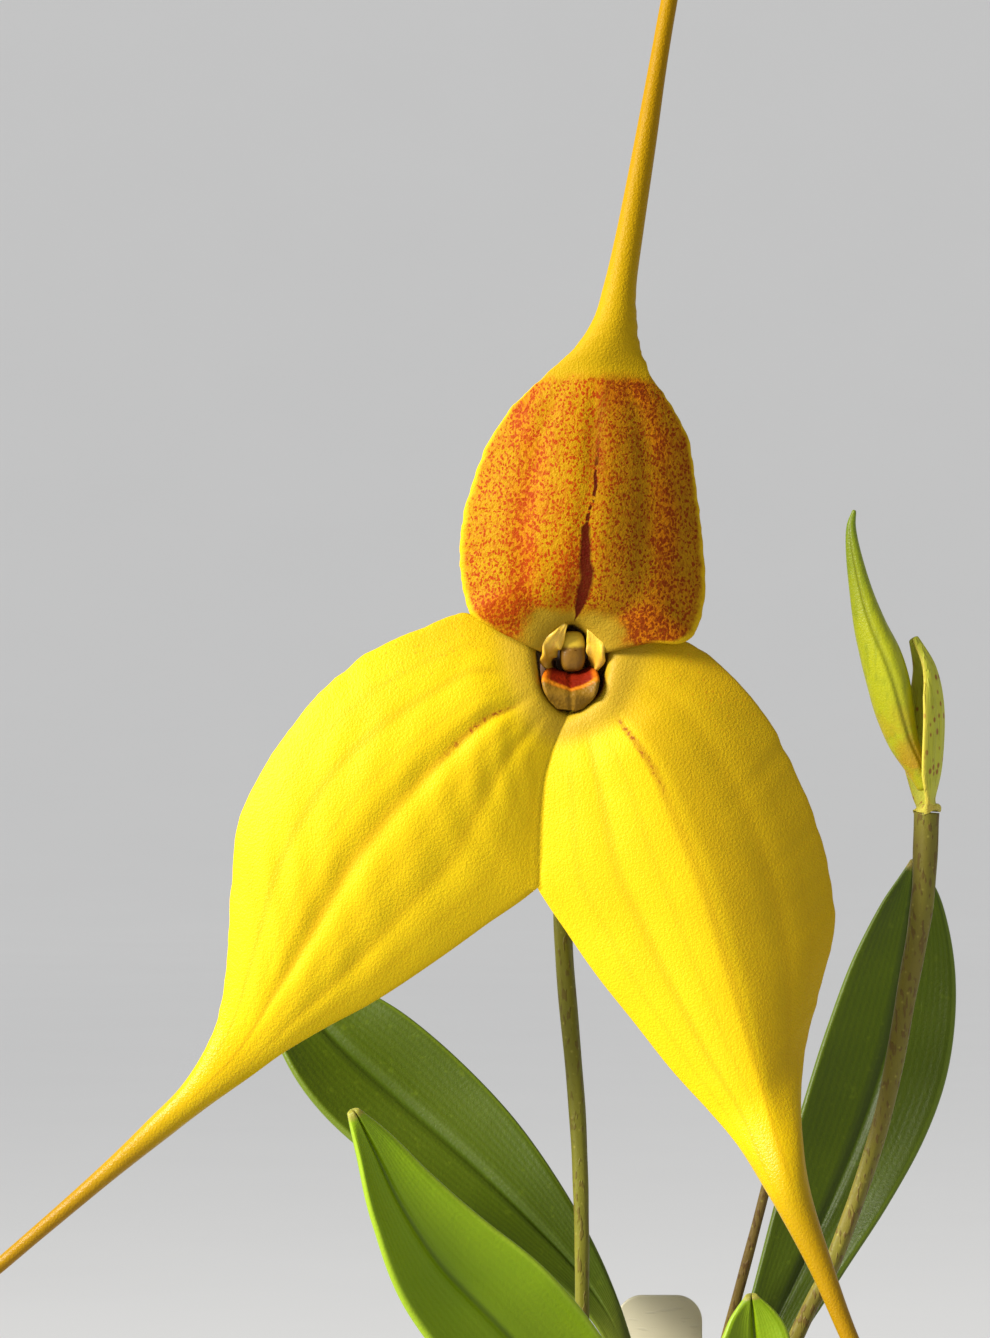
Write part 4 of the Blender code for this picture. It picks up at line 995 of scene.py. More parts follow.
def lip_paint():
    look = Finish("dark_red_lip", roughness=0.4, specular_ior_level=0.12)
    across, along = look.mark("across"), look.mark("along")
    red = look.mix(look.noise(0.7), (0.09, 0.004, 0.001), (0.20, 0.012, 0.001))
    # the lighter orange rim is a painted highlight along the saddle's edges
    rim = look.step(abs(across) + 0.1 * (look.noise(0.6) - 0.5), 0.72, 0.97) * look.step(along, 0.3, 0.5)
    red = look.mix(rim * 0.8, red, (0.52, 0.13, 0.003))
    shield = look.step(along + 0.08 * abs(across), 0.62, 0.68)
    tan = look.mix(look.noise(0.9), (0.20, 0.105, 0.006), (0.14, 0.068, 0.004))
    skin = look.mix(shield, red, tan)
    # a lighter orange line where the lip curls down, a painted highlight
    skin = look.mix(look.band(along + 0.08 * abs(across), 0.63, 0.045) * 0.8, skin, (0.50, 0.17, 0.005))
    grain = look.noise(0.25) + look.cells(0.4)
    return look.wear(skin, 0.4 + 0.15 * look.noise(0.4), look.relief(grain, 0.05))


def column_paint():
    look = Finish("column_tissue", roughness=0.45, specular_ior_level=0.2)
    height = look.height() - float(BLOOM[2])
    cap = look.step(height + 0.3 * (look.noise(0.8) - 0.5), 2.1, 2.6)
    face = look.mix(look.noise(0.8), (0.13, 0.06, 0.004), (0.19, 0.09, 0.007))
    skin = look.mix(cap, face, (0.60, 0.41, 0.03))
    return look.wear(skin, 0.35 + 0.12 * look.noise(0.5), look.relief(look.noise(0.3), 0.04))


def ovary_paint():
    """Young green tissue with fine lengthwise flecks, reddish brown where it meets the bloom."""
    look = Finish("ovary_tissue", roughness=0.45, subsurface_weight=0.08, subsurface_scale=0.001,
                  subsurface_radius=(0.6, 1.0, 0.2))
    light, dark = (0.42, 0.38, 0.03), (0.24, 0.22, 0.02)
    drift = look.noise(3.0)
    rib = look.step(look.noise(0.8, 2.0, vector=look.stretched(1.0, 1.0, 0.25)), 0.42, 0.66)
    skin = look.mix(rib * 0.6, look.mix(drift, light, dark), dark)
    skin = look.mix(1 - look.step(look.mark("along"), 0.4, 1.6), skin, (0.09, 0.035, 0.006))
    return look.wear(skin, 0.42 + 0.14 * drift, look.relief(rib + 0.4 * look.noise(0.3), 0.06))


def never(reads):
    """A blade that is nowhere rolled up."""
    return reads * 0


def lip_groove(across, along, behind):
    """The lip's middle groove, and a slight unevenness."""
    return -0.16 * np.exp(-(across / 0.12) ** 2) + 0.06 * waves(across, along, 9)


def column_edges(angle, station):
    """Presses the round column towards a square in front."""
    return -0.07 * np.cos(4 * angle) * soft_step(station, 1.0, 2.5)


def ovary_ribs(angle, station):
    """Six low ribs."""
    return 0.05 * np.cos(6 * angle) * soft_step(station, 2.0, 3.5)


def mouth():
    for name, path in PETAL_PATHS.items():
        side = -1 if name == "petal_left" else 1
        facing = (-side * 0.45, -1.0, 0.15)
        piece = strap(name, in_bloom(path), PETAL_HALF_WIDTHS, (facing, facing), (0.1, 0.25), PETAL_HALF,
                      never, wavy_petal, 80, 20, 0.2)
        settle(piece, petal_paint(), "petal", name)
    facings = ((0.0, 0.0, 1.0), (0.0, -1.0, 0.3))
    piece = strap("lip", in_bloom(LIP_PATH), LIP_HALF_WIDTHS, facings, LIP_DISH, LIP_HALF, never, lip_groove,
                  100, 36, 0.25)
    settle(piece, lip_paint(), "lip", "lip")
    reads = np.linspace(0, len(COLUMN_PATH) - 1, 60)
    rings, marks = rod_rings(in_bloom(COLUMN_PATH), COLUMN_RADII, reads, 48, column_edges)
    centre = rings.mean(axis=1, keepdims=True)
    tall = 1 + COLUMN_TALLER * soft_step(reads, 0.8, 2.6)[:, None]
    rings[:, :, 2] = centre[:, :, 2] + (rings - centre)[:, :, 2] * tall
    rings, marks = domed(rings, marks, last=0.7)
    settle(lay_skin("column_skin", rings, marks, 47), column_paint(), "column", "column")
    reads = np.linspace(0, len(OVARY_PATH) - 1, 110)
    rings, marks = rod_rings(in_bloom(OVARY_PATH), OVARY_RADII, reads, 72, ovary_ribs)
    settle(lay_skin("ovary_skin", rings, marks, 71), ovary_paint(), "ovary", "ovary")


mouth()

# %% [markdown]
# ## Stalks, bud and bracts
# The stalks are thin green-brown cords flecked with darker dashes. The bud is three unopened
# sepals pressed together, so it carries three seams and tapers into their tails. A papery
# bract sheathes the foot of the bud and of the ovary. A curve with a bevel would make a stalk
# too, but rings on a path let ribs, joints and seams be pressed in.

# %% Stalks
STALK_FOOT = 47.3
STALKS = {
    "bloom_stalk": (((-8.1, -7.0, STALK_FOOT), (-8.3, -7.0, 86.5), (-8.4, -6.8, 98.6), (-8.9, -6.0, 110.5),
                     (-10.3, -4.6, 127.1), (-10.6, -3.9, 137.5), (-10.4, -3.8, 144.6)),
                    (0.75, 0.8, 0.85, 0.95, 1.05, 1.0, 1.15), 0.0),
    "bud_stalk": (((5.6, -4.6, STALK_FOOT), (5.6, -4.6, 56.5), (8.6, -5.0, 66.0), (12.7, -6.0, 77.4),
                   (16.9, -7.0, 87.1), (20.3, -8.0, 94.3), (25.3, -9.0, 109.4), (28.2, -9.5, 124.4),
                   (29.8, -10.0, 134.1), (30.3, -10.0, 143.9)),
                  (0.8, 0.8, 0.85, 0.85, 0.9, 0.95, 1.0, 1.15, 1.3, 1.45), 0.5),
    "old_stalk": (((1.8, 9.2, STALK_FOOT), (1.8, 9.2, 56.5), (3.8, 8.0, 65.0), (6.6, 6.2, 76.0),
                   (9.6, 4.6, 87.6), (12.6, 4.0, 99.2), (15.4, 4.0, 111.0)),
                  (0.7, 0.7, 0.65, 0.6, 0.6, 0.55, 0.5), 1.0),
}


def stalk_paint():
    look = Finish("flecked_stalk", roughness=0.5, specular_ior_level=0.2)
    tone = look.mark("tone")
    drift = look.noise(9.0)
    green = look.mix(drift, (0.17, 0.16, 0.012), (0.11, 0.105, 0.01))
    brown = look.mix(drift, (0.17, 0.115, 0.02), (0.11, 0.07, 0.015))
    skin = look.mix(look.step(tone + 0.5 * (drift - 0.5), 0.2, 0.9), green, brown)
    fleck = look.step(look.noise(0.5, 1.0, vector=look.stretched(1.0, 1.0, 0.35)), 0.55, 0.66)
    skin = look.mix(fleck * (0.5 + 0.3 * tone), skin, (0.09, 0.045, 0.01))
    pale = look.step(look.cells(1.1), 0.0, 0.22)
    skin = look.mix((1 - pale) * 0.5, skin, (0.34, 0.30, 0.05))
    return look.wear(skin, 0.42 + 0.18 * drift, look.relief(fleck + 0.6 * look.noise(0.25), 0.05))


def stalk_ribs(angle, station):
    """Faint ribs that wind up a stalk, and slight swellings along it."""
    return 0.03 * np.cos(5 * angle + 0.6 * station) + 0.02 * np.sin(9 * station + 2 * angle)


def stalks():
    paint = stalk_paint()
    for name, (path, radii, tone) in STALKS.items():
        reads = np.linspace(0, len(path) - 1, 36 * (len(path) - 1) + 1)
        rings, marks = rod_rings(path, radii, reads, 28, stalk_ribs)
        marks["tone"] = np.full_like(marks["along"], tone)
        settle(lay_skin(name + "_skin", rings, marks, 27), paint, "stalk", name)


stalks()

# %% Bud
BUD_TWIST = 0.10                # turn of its seams from one station to the next
BUD_PATH = ((29.9, -10.2, 146.8), (29.0, -10.3, 149.2), (27.7, -10.5, 152.1), (26.8, -10.7, 155.4),
            (26.1, -11.0, 158.6), (25.2, -11.3, 161.6), (24.0, -11.6, 164.8), (22.9, -11.8, 168.7),
            (22.0, -12.0, 173.0), (21.7, -12.0, 175.8), (22.0, -12.0, 177.6))
BUD_RADII = (0.8, 1.25, 1.75, 2.2, 2.4, 2.3, 1.85, 1.3, 0.85, 0.55, 0.25)


def seams(angle, station, width):
    """1 along the three seams, which wind slowly up the bud."""
    turn = angle + BUD_TWIST * station
    return np.exp(-((np.mod(turn * 3 / (2 * np.pi) + 0.5, 1.0) - 0.5) / width) ** 2)


def bud_shape(angle, station):
    """Three rounded sepals with a pressed seam between each two."""
    wide = 1 - soft_step(station, 7.5, 10.0)
    return wide * (0.09 * np.cos(3 * angle) - 0.10 * seams(angle, station, 0.06))


def bud_paint():
    look = Finish("bud_skin", roughness=0.42, subsurface_weight=0.12, subsurface_scale=0.001,
                  subsurface_radius=(0.8, 1.0, 0.1), specular_ior_level=0.3)
    along, seam = look.mark("along"), look.mark("seam")
    drift = look.noise(3.0)
    greener = look.step(along + 2.0 * (drift - 0.5), 4.5, 9.5)
    skin = look.mix(greener, (0.32, 0.33, 0.002), (0.14, 0.195, 0.002))
    vein = look.step(look.noise(0.7, 1.0, vector=look.stretched(1.0, 1.0, 0.2)), 0.5, 0.68)
    skin = look.mix(vein * 0.35, skin, (0.14, 0.18, 0.002))
    skin = look.mix(seam * 0.55, skin, (0.15, 0.16, 0.003))
    tan = (1 - look.step(along, 0.6, 4.2)) * look.step(drift, 0.35, 0.6)
    skin = look.mix(tan * 0.75, skin, (0.38, 0.18, 0.006))
    return look.wear(skin, 0.36 + 0.14 * drift, downy(look, 0.04))


def bud():
    reads = np.linspace(0, len(BUD_PATH) - 1, 200)
    rings, marks = rod_rings(BUD_PATH, BUD_RADII, reads, 84, bud_shape)
    marks["seam"] = seams(marks["round"] * 2 * np.pi, marks["along"], 0.09)
    rings, marks = domed(rings, marks, first=0.4, last=0.2)
    settle(lay_skin("bud_skin", rings, marks, 83), bud_paint(), "bud", "bud")


bud()

# %% Bracts
BRACT_HALF = 0.35
BRACT_FOLDS = (0.0, 0.9, 1.1, 0.9)
BRACTS = {
    "bud_bract": (((30.3, -10.0, 144.05), (30.4, -10.0, 145.2), (31.2, -10.0, 149.4), (31.5, -10.0, 155.4),
                   (30.7, -10.0, 159.8), (28.7, -10.0, 163.2)), (1.55, 2.2, 2.85, 2.6, 1.7, 0.4),
                  (-1.0, -0.25, 0.0)),
    "bloom_bract": (((-10.4, -3.8, 145.0), (-10.4, -3.6, 145.9), (-10.4, -2.2, 147.4), (-10.4, -1.4, 150.6),
                     (-10.0, -0.5, 155.2)), (1.15, 1.2, 1.4, 1.8, 0.5), (0.0, -1.0, 0.0)),
}


def bract_paint():
    look = Finish("papery_bract", roughness=0.6, subsurface_weight=0.15, subsurface_scale=0.0008,
                  subsurface_radius=(1.0, 0.8, 0.3), specular_ior_level=0.3)
    across, along = look.mark("across"), look.mark("along")
    drift = look.noise(2.5)
    skin = look.mix(drift, (0.46, 0.47, 0.035), (0.38, 0.38, 0.025))
    nerve = look.step(look.noise(0.5, 1.0, vector=look.stretched(1.0, 1.0, 0.12)), 0.52, 0.64)
    skin = look.mix(nerve * 0.3, skin, (0.28, 0.28, 0.015))
    spots = 1 - look.step(look.cells(1.0, look.stretched(1.0, 1.0, 0.7)) + 0.25 * (drift - 0.5), 0.16, 0.30)
    skin = look.mix(spots * 0.85 * (1 - look.step(along, 0.75, 1.0)), skin, (0.24, 0.07, 0.012))
    skin = look.mix(look.step(abs(across), 0.88, 1.0) * 0.5, skin, (0.40, 0.27, 0.03))
    foot = 1 - look.step(along, 0.05, 0.3)
    skin = look.mix(foot * 0.6, skin, (0.42, 0.31, 0.05))
    return look.wear(skin, 0.55 + 0.15 * drift, look.relief(nerve + 0.4 * look.noise(0.3), 0.07))


def wrapped(reads):
    """A bract is rolled up at its foot and opens by its second station."""
    return 1 - soft_step(reads, 0.0, 1.2)


def nerves(across, along, behind):
    """Fine lengthwise nerves and a slight unevenness, above the foot."""
    return soft_step(along, 1, 2) * (0.05 * np.cos(20 * across) + 0.05 * waves(across, along, 7))


def bracts():
    paint = bract_paint()
    for name, (path, half_widths, facing) in BRACTS.items():
        piece = strap(name, path, half_widths, (facing, facing), BRACT_FOLDS, BRACT_HALF, wrapped, nerves,
                      120, 40, 0.25)
        settle(piece, paint, "bract", name)


bracts()

# %% [markdown]
# ## Leaves
# A masdevallia leaf is a leathery strap on a slender stem: a trough runs along its midrib, a
# keel stands out behind it, and the margin is a thin pale line. All eight leaves are laid the
# same way from their own middle lines, and share one paint that reads how dark each leaf is:
# the leaves further back are painted darker, as painted shade, and the front ones lighter.

# %% Leaves
LEAF_HALF = 0.5
# each leaf: middle line, half widths, facing at foot and at tip, fold, and tone; a low tone paints a leaf
# further back darker, as painted shade
LEAVES = {
    "leaf_back_left": (
        ((0.7, 2.0, STALK_FOOT), (-0.6, 2.0, 70.7), (-3.8, 2.0, 82.7), (-7.8, 3.0, 90.0),
         (-13.6, 5.0, 96.4), (-21.0, 8.0, 103.3), (-28.9, 11.0, 110.0), (-35.6, 13.0, 115.9),
         (-40.9, 15.0, 121.3), (-44.5, 16.0, 125.0)),
        (1.3, 1.2, 1.4, 2.6, 4.8, 6.8, 7.7, 7.2, 4.7, 0.5),
        (0.3, -1.0, 0.2), (0.2, -1.0, 0.35), 0.22, 0.12),
    "leaf_front_left": (
        ((-1.3, -10.0, STALK_FOOT), (-1.3, -10.0, 56.5), (-3.0, -11.4, 65.0),
         (-5.9, -14.0, 72.4), (-10.9, -17.0, 80.0), (-17.6, -20.0, 87.6), (-23.9, -22.0, 94.4),
         (-28.3, -24.0, 101.2), (-31.3, -25.0, 107.4), (-33.3, -26.0, 111.5)),
        (1.2, 1.2, 1.8, 3.8, 6.4, 7.4, 6.4, 4.4, 2.3, 0.5),
        (0.2, -1.0, 0.1), (0.25, -1.0, 0.4), 0.38, 1.0),
    "leaf_right": (
        ((6.2, 4.2, STALK_FOOT), (7.2, 4.4, 62.2), (9.4, 5.0, 73.7), (13.7, 6.0, 83.9),
         (17.8, 8.0, 92.3), (21.6, 10.0, 100.2), (25.0, 12.0, 108.2), (27.6, 13.0, 116.2),
         (29.5, 14.0, 124.9), (30.5, 14.0, 132.5), (30.7, 14.0, 137.5)),
        (1.3, 1.2, 1.7, 3.2, 4.8, 6.3, 7.2, 7.2, 6.0, 3.5, 0.5),
        (-0.2, -1.0, 0.1), (-0.15, -1.0, 0.1), 0.18, 0.16),
    "leaf_small": (
        ((7.8, -10.6, STALK_FOOT), (7.8, -10.6, 56.5), (8.4, -11.2, 63.4), (9.5, -12.0, 71.0),
         (10.5, -13.0, 78.4), (10.8, -14.0, 84.1), (10.6, -14.4, 87.4), (10.4, -14.6, 90.0)),
        (1.1, 1.1, 1.6, 3.5, 4.5, 3.9, 2.6, 0.5),
        (0.0, -1.0, 0.1), (-0.1, -1.0, 0.2), 0.4, 0.8),
    "leaf_low_right": (
        ((12.6, -2.6, STALK_FOOT), (12.6, -2.6, 56.5), (15.4, -3.2, 62.0), (21.0, -4.8, 70.0),
         (29.0, -6.8, 76.0), (37.0, -8.8, 76.6), (44.0, -10.6, 73.0)),
        (1.2, 1.2, 1.5, 3.4, 5.9, 5.2, 0.5),
        (-0.6, 0.0, 0.8), (0.0, 0.0, 1.0), 0.3, 0.5),
    "leaf_low_front": (
        ((-9.6, -13.2, STALK_FOOT), (-9.6, -13.2, 56.5), (-12.6, -15.8, 61.0), (-19.0, -20.6, 66.0),
         (-27.0, -25.8, 70.0), (-34.5, -30.2, 68.6), (-40.5, -33.4, 64.0)),
        (1.2, 1.2, 1.5, 3.0, 5.4, 4.8, 0.5),
        (0.5, 0.3, 0.8), (0.0, 0.0, 1.0), 0.3, 0.7),
    "leaf_low_back": (
        ((-7.2, 8.0, STALK_FOOT), (-7.2, 8.0, 56.5), (-9.2, 11.6, 62.0), (-13.0, 17.8, 69.0),
         (-18.6, 26.0, 75.4), (-24.6, 34.2, 75.8), (-30.0, 41.4, 71.4)),
        (1.2, 1.2, 1.5, 3.5, 6.0, 5.6, 0.5),
        (0.3, -0.6, 0.8), (0.0, 0.0, 1.0), 0.3, 0.4),
    "leaf_low_back_right": (
        ((9.4, 11.6, STALK_FOOT), (9.4, 11.6, 56.5), (11.4, 14.6, 62.0), (15.4, 21.0, 71.0),
         (20.4, 29.0, 76.4), (25.4, 37.0, 75.8), (29.6, 43.6, 70.4)),
        (1.2, 1.2, 1.5, 3.4, 5.8, 5.4, 0.5),
        (-0.3, -0.6, 0.8), (0.0, 0.0, 1.0), 0.3, 0.3),
}
LEAF_ROLL = (1, 3)              # a leaf's stem is round up to the first of these stations


def rolled_stem(reads):
    """A leaf is a round stem at its foot, and opens into a blade above it."""
    return 1 - soft_step(reads, *LEAF_ROLL)


def leaf_paint():
    look = Finish("leathery_leaf", roughness=0.4, specular_ior_level=0.2,
                  subsurface_weight=0.06, subsurface_scale=0.001, subsurface_radius=(0.4, 1.0, 0.1))
    across, along, behind, tone = (look.mark(name) for name in ("across", "along", "behind", "tone"))
    drift = look.noise(12.0)
    fine = look.noise(1.2)
    front = 1 - look.step(behind, 0.3, 0.7)
    # a leaf's tone: dark for the leaves further back, as painted shade, light for the lit front ones
    lamina = look.mix(tone, (0.024, 0.036, 0.001), (0.150, 0.245, 0.001))
    lighter = look.mix(tone, (0.034, 0.050, 0.001), (0.190, 0.290, 0.001))
    lamina = look.mix(look.step(drift, 0.35, 0.7) * 0.5, lamina, lighter)
    stripes = (across * 58.0 + 1.5 * drift).math("SINE") * 0.5 + 0.5
    lamina = look.mix(stripes * 0.07, lamina, (0.11, 0.16, 0.003))
    lamina = look.mix(look.step(fine, 0.60, 0.75) * 0.12, lamina, (0.18, 0.24, 0.01))
    midrib = look.band(across, 0.0, 0.07)
    lamina = look.mix(midrib * front * 0.5, lamina, (0.036, 0.066, 0.002))
    lamina = look.mix(midrib * (1 - front) * 0.5, lamina, (0.20, 0.30, 0.03))
    margin = look.step(abs(across), 0.93, 0.985)
    lamina = look.mix(margin * 0.6, lamina, look.mix(tone, (0.10, 0.14, 0.01), (0.30, 0.42, 0.02)))
    lamina = look.mix(look.step(behind, 0.4, 0.7) * 0.35, lamina, (0.14, 0.20, 0.03))
    stem = 1 - look.step(along, 0.10, 0.34)
    lamina = look.mix(stem * 0.7, lamina, look.mix(fine, (0.16, 0.20, 0.02), (0.22, 0.22, 0.03)))
    old_tip = look.step(along + 0.03 * (fine - 0.5), 0.975, 0.995)
    lamina = look.mix(old_tip * 0.6, lamina, (0.28, 0.20, 0.05))
    grain = 0.25 * stripes + look.noise(0.4)
    return look.wear(lamina, 0.30 + 0.22 * drift, look.relief(grain, 0.045))


def leaf_form(seed):
    """A trough on the midrib and a margin that lifts and falls a little."""
    def relief(across, along, behind):
        blade = soft_step(along, 2.0, 4.0)
        trough = -0.55 * np.exp(-(across / 0.085) ** 2)
        return blade * (trough + 0.35 * across ** 2 * waves(across * 0.4, along, seed, 3))
    return relief


def leaves():
    paint = leaf_paint()
    for seed, (name, (path, half_widths, foot, tip, fold, tone)) in enumerate(LEAVES.items()):
        piece = strap(name, path, half_widths, (foot, tip), (0.0, fold, fold, fold * 0.6), LEAF_HALF,
                      rolled_stem, leaf_form(40 + seed), 14 * (len(path) - 1) + 1, 36, 0.4)
        store(piece, "tone", [tone] * len(piece.data.vertices))
        settle(piece, paint, "leaf", name)


leaves()

# %% [markdown]
# ## Clay pot
# The pot is a thrown and turned one: a tapered wall under a plain rim band, with four drain
# holes in its floor. It is raised as the floor was, from a filled circle whose rim is extruded
# ring by ring up the outside and down the inside. A spun profile would give the same body,
# but this order is how a potter pulls the wall.

# %% Pot
POT_HEIGHT = 62.0
POT_TOP_RADIUS = 38.0
POT_FOOT_RADIUS = 27.0
POT_WALL = 3.2
POT_FLOOR = 6.0
RIM_HEIGHT = 15.0
RIM_STEP = 2.4
DRAIN_RADIUS = 3.0
DRAIN_RING = 15.0               # the drain holes' distance from the middle
DRAIN_HOLES = 4
POT_SIDES = 120
MIX_TOP = 55.0


def wall_radius(height):
    """The pot's outer radius at a height, below its rim band."""
    return POT_FOOT_RADIUS + (POT_TOP_RADIUS - RIM_STEP - POT_FOOT_RADIUS) * height / POT_HEIGHT


def clay_paint():
    look = Finish("fired_clay", roughness=0.85, specular_ior_level=0.25)
    height = look.height()
    drift = look.noise(22.0, 4.0)
    clay = look.mix(drift, (0.46, 0.17, 0.075), (0.36, 0.125, 0.055))
    clay = look.mix(look.step(look.noise(2.2, 4.0), 0.45, 0.75) * 0.35, clay, (0.54, 0.25, 0.13))
    turning = look.noise(2.4, 2.0, vector=look.stretched(0.06, 0.06, 1.0))
    clay = look.mix(look.step(turning, 0.5, 0.7) * 0.25, clay, (0.30, 0.10, 0.045))
    bloom = look.step(look.noise(13.0, 5.0, 0.65) + 0.004 * height, 0.60, 0.80)
    clay = look.mix(bloom * 0.55, clay, (0.62, 0.52, 0.42))
    tide = look.band(height + 6.0 * (drift - 0.5), 44.0, 5.0)
    clay = look.mix(tide * 0.35, clay, (0.66, 0.58, 0.48))
    damp = (1 - look.step(height + 8.0 * (drift - 0.5), 2.0, 16.0)) * 0.45
    clay = look.mix(damp, clay, (0.20, 0.085, 0.04))
    alga = look.step(look.noise(9.0, 4.0), 0.56, 0.72) * look.step(height, 36.0, 60.0)
    clay = look.mix(alga * 0.25, clay, (0.16, 0.19, 0.05))
    grit = look.noise(0.5, 3.0) + 0.8 * turning
    return look.wear(clay, 0.72 + 0.2 * drift, look.relief(grit, 0.16))


def pot():
    """Outside from the foot up, over the rim, and down the inside."""
    rim_foot = POT_HEIGHT - RIM_HEIGHT
    inner = POT_TOP_RADIUS - RIM_STEP - POT_WALL
    profile = [(POT_FOOT_RADIUS - 1.0, 0.0), (POT_FOOT_RADIUS - 0.3, 0.3), (POT_FOOT_RADIUS, 1.0)]
    profile += [(wall_radius(h) + 0.10 * math.sin(h * 1.3), h) for h in np.arange(3.0, rim_foot - 1.0, 2.0)]
    under_rim = wall_radius(rim_foot)
    profile += [(under_rim - 0.1, rim_foot), (under_rim + RIM_STEP - 0.9, rim_foot + 0.1),
                (under_rim + RIM_STEP - 0.4, rim_foot + 0.7)]
    profile += [(POT_TOP_RADIUS - 0.02 * (POT_HEIGHT - h) + 0.06 * math.sin(h * 1.7), h)
                for h in np.arange(rim_foot + 2.0, POT_HEIGHT - 1.5, 2.0)]
    profile += [(POT_TOP_RADIUS - 0.05, POT_HEIGHT - 1.2), (POT_TOP_RADIUS - 0.4, POT_HEIGHT - 0.4),
                (POT_TOP_RADIUS - 1.2, POT_HEIGHT), (inner + 1.0, POT_HEIGHT),
                (inner + 0.3, POT_HEIGHT - 0.3), (inner, POT_HEIGHT - 1.0)]
    profile += [(wall_radius(h) - POT_WALL, h) for h in np.arange(POT_HEIGHT - 6.0, POT_FLOOR + 1.0, -6.0)]
    low_inside = wall_radius(POT_FLOOR) - POT_WALL
    profile += [(low_inside, POT_FLOOR + 0.8), (low_inside - 0.8, POT_FLOOR)]
    deselect()
    bpy.ops.mesh.primitive_circle_add(vertices=POT_SIDES, radius=profile[0][0] * MM, fill_type="NGON",
                                      location=(0, 0, 0))
    body = bpy.context.object
    body.name = body.data.name = "clay_pot"
    bpy.ops.object.mode_set(mode="EDIT")
    bpy.ops.mesh.select_mode(type="EDGE")
    bpy.ops.mesh.select_all(action="DESELECT")
    bpy.ops.mesh.select_non_manifold()
    for (radius, height), (new_radius, new_height) in zip(profile, profile[1:]):
        raise_ring((new_height - height) * MM, new_radius / radius)
    bpy.ops.mesh.edge_face_add()
    bpy.ops.mesh.select_all(action="SELECT")
    bpy.ops.mesh.normals_make_consistent(inside=False)
    bpy.ops.object.mode_set(mode="OBJECT")
    for i in range(DRAIN_HOLES):
        angle = 2 * math.pi * (i + 0.5) / DRAIN_HOLES
        deselect()
        spot = (DRAIN_RING * MM * math.cos(angle), DRAIN_RING * MM * math.sin(angle), POT_FLOOR * MM / 2)
        bpy.ops.mesh.primitive_cylinder_add(vertices=40, radius=DRAIN_RADIUS * MM,
                                            depth=(POT_FLOOR + 4) * MM, location=spot)
        drill = bpy.context.object
        bpy.context.view_layer.objects.active = body
        cut = body.modifiers.new("drain", "BOOLEAN")
        cut.operation = "DIFFERENCE"
        cut.object = drill
        cut.solver = "EXACT"
        bpy.ops.object.modifier_apply(modifier=cut.name)
        bpy.data.objects.remove(drill, do_unlink=True)
    settle(body, clay_paint(), "pot", "pot")
    keep_edges(body, 40)


pot()

# %% [markdown]
# ## Potting mix
# Orchids of this kind grow in small bark with some moss and white grit. The mix itself keeps
# its solid under a dark crumbly paint. On top of it lie real pieces: a few bark chips are
# modelled once and copied with turns and sizes of their own, clear of every stem.

# %% Mix, bark and grit
MIX_REACH = 29.5                # nothing lies further out on the mix
MIX_FALL = 0.03                 # how much lower it lies for each millimetre outwards


def mix_paint():
    look = Finish("dark_crumbly_mix", roughness=0.95, specular_ior_level=0.15)
    crumb = look.cells(2.4)
    drift = look.noise(5.0, 4.0)
    soil = look.mix(drift, (0.050, 0.026, 0.012), (0.13, 0.07, 0.035))
    soil = look.mix(look.step(crumb, 0.35, 0.8) * 0.5, soil, (0.025, 0.014, 0.008))
    moss = look.step(look.noise(8.0, 4.0), 0.54, 0.66)
    soil = look.mix(moss * 0.5, soil, (0.07, 0.10, 0.015))
    return look.wear(soil, 0.85 + 0.1 * drift, look.relief(crumb + look.noise(0.8, 4.0), 0.7))


def bark_paint():
    look = Finish("fir_bark", roughness=0.85, specular_ior_level=0.2)
    tone = look.mark("tone")
    grain = look.noise(0.9, 4.0, vector=look.stretched(0.5, 1.0, 2.2))
    bark = look.mix(tone, (0.10, 0.045, 0.02), (0.26, 0.13, 0.06))
    bark = look.mix(look.step(grain, 0.45, 0.65) * 0.6, bark, (0.045, 0.022, 0.012))
    bark = look.mix(look.step(look.noise(2.5), 0.58, 0.7) * 0.4, bark, (0.34, 0.20, 0.10))
    return look.wear(bark, 0.8 + 0.15 * grain, look.relief(grain, 0.3))


def grit_paint():
    look = Finish("white_grit", roughness=0.9, specular_ior_level=0.25)
    pore = look.cells(0.5)
    stone = look.mix(look.noise(1.5), (0.72, 0.70, 0.66), (0.58, 0.55, 0.50))
    stone = look.mix((1 - look.step(pore, 0.1, 0.4)) * 0.5, stone, (0.40, 0.36, 0.30))
    return look.wear(stone, 0.85 + 0.1 * pore, look.relief(pore, 0.25))


def chip_model(seed):
    """One bark chip or stone: a block with broken corners."""
    deselect()
    bpy.ops.mesh.primitive_cube_add(size=1.0, location=(0, 0, 0))
    chip = bpy.context.object
    bpy.ops.object.mode_set(mode="EDIT")
    bpy.ops.mesh.bevel(offset=0.16, segments=1, affect="EDGES")
    bpy.ops.mesh.subdivide(number_cuts=1, fractal=0.55, seed=seed)
    bpy.ops.object.mode_set(mode="OBJECT")
    return chip


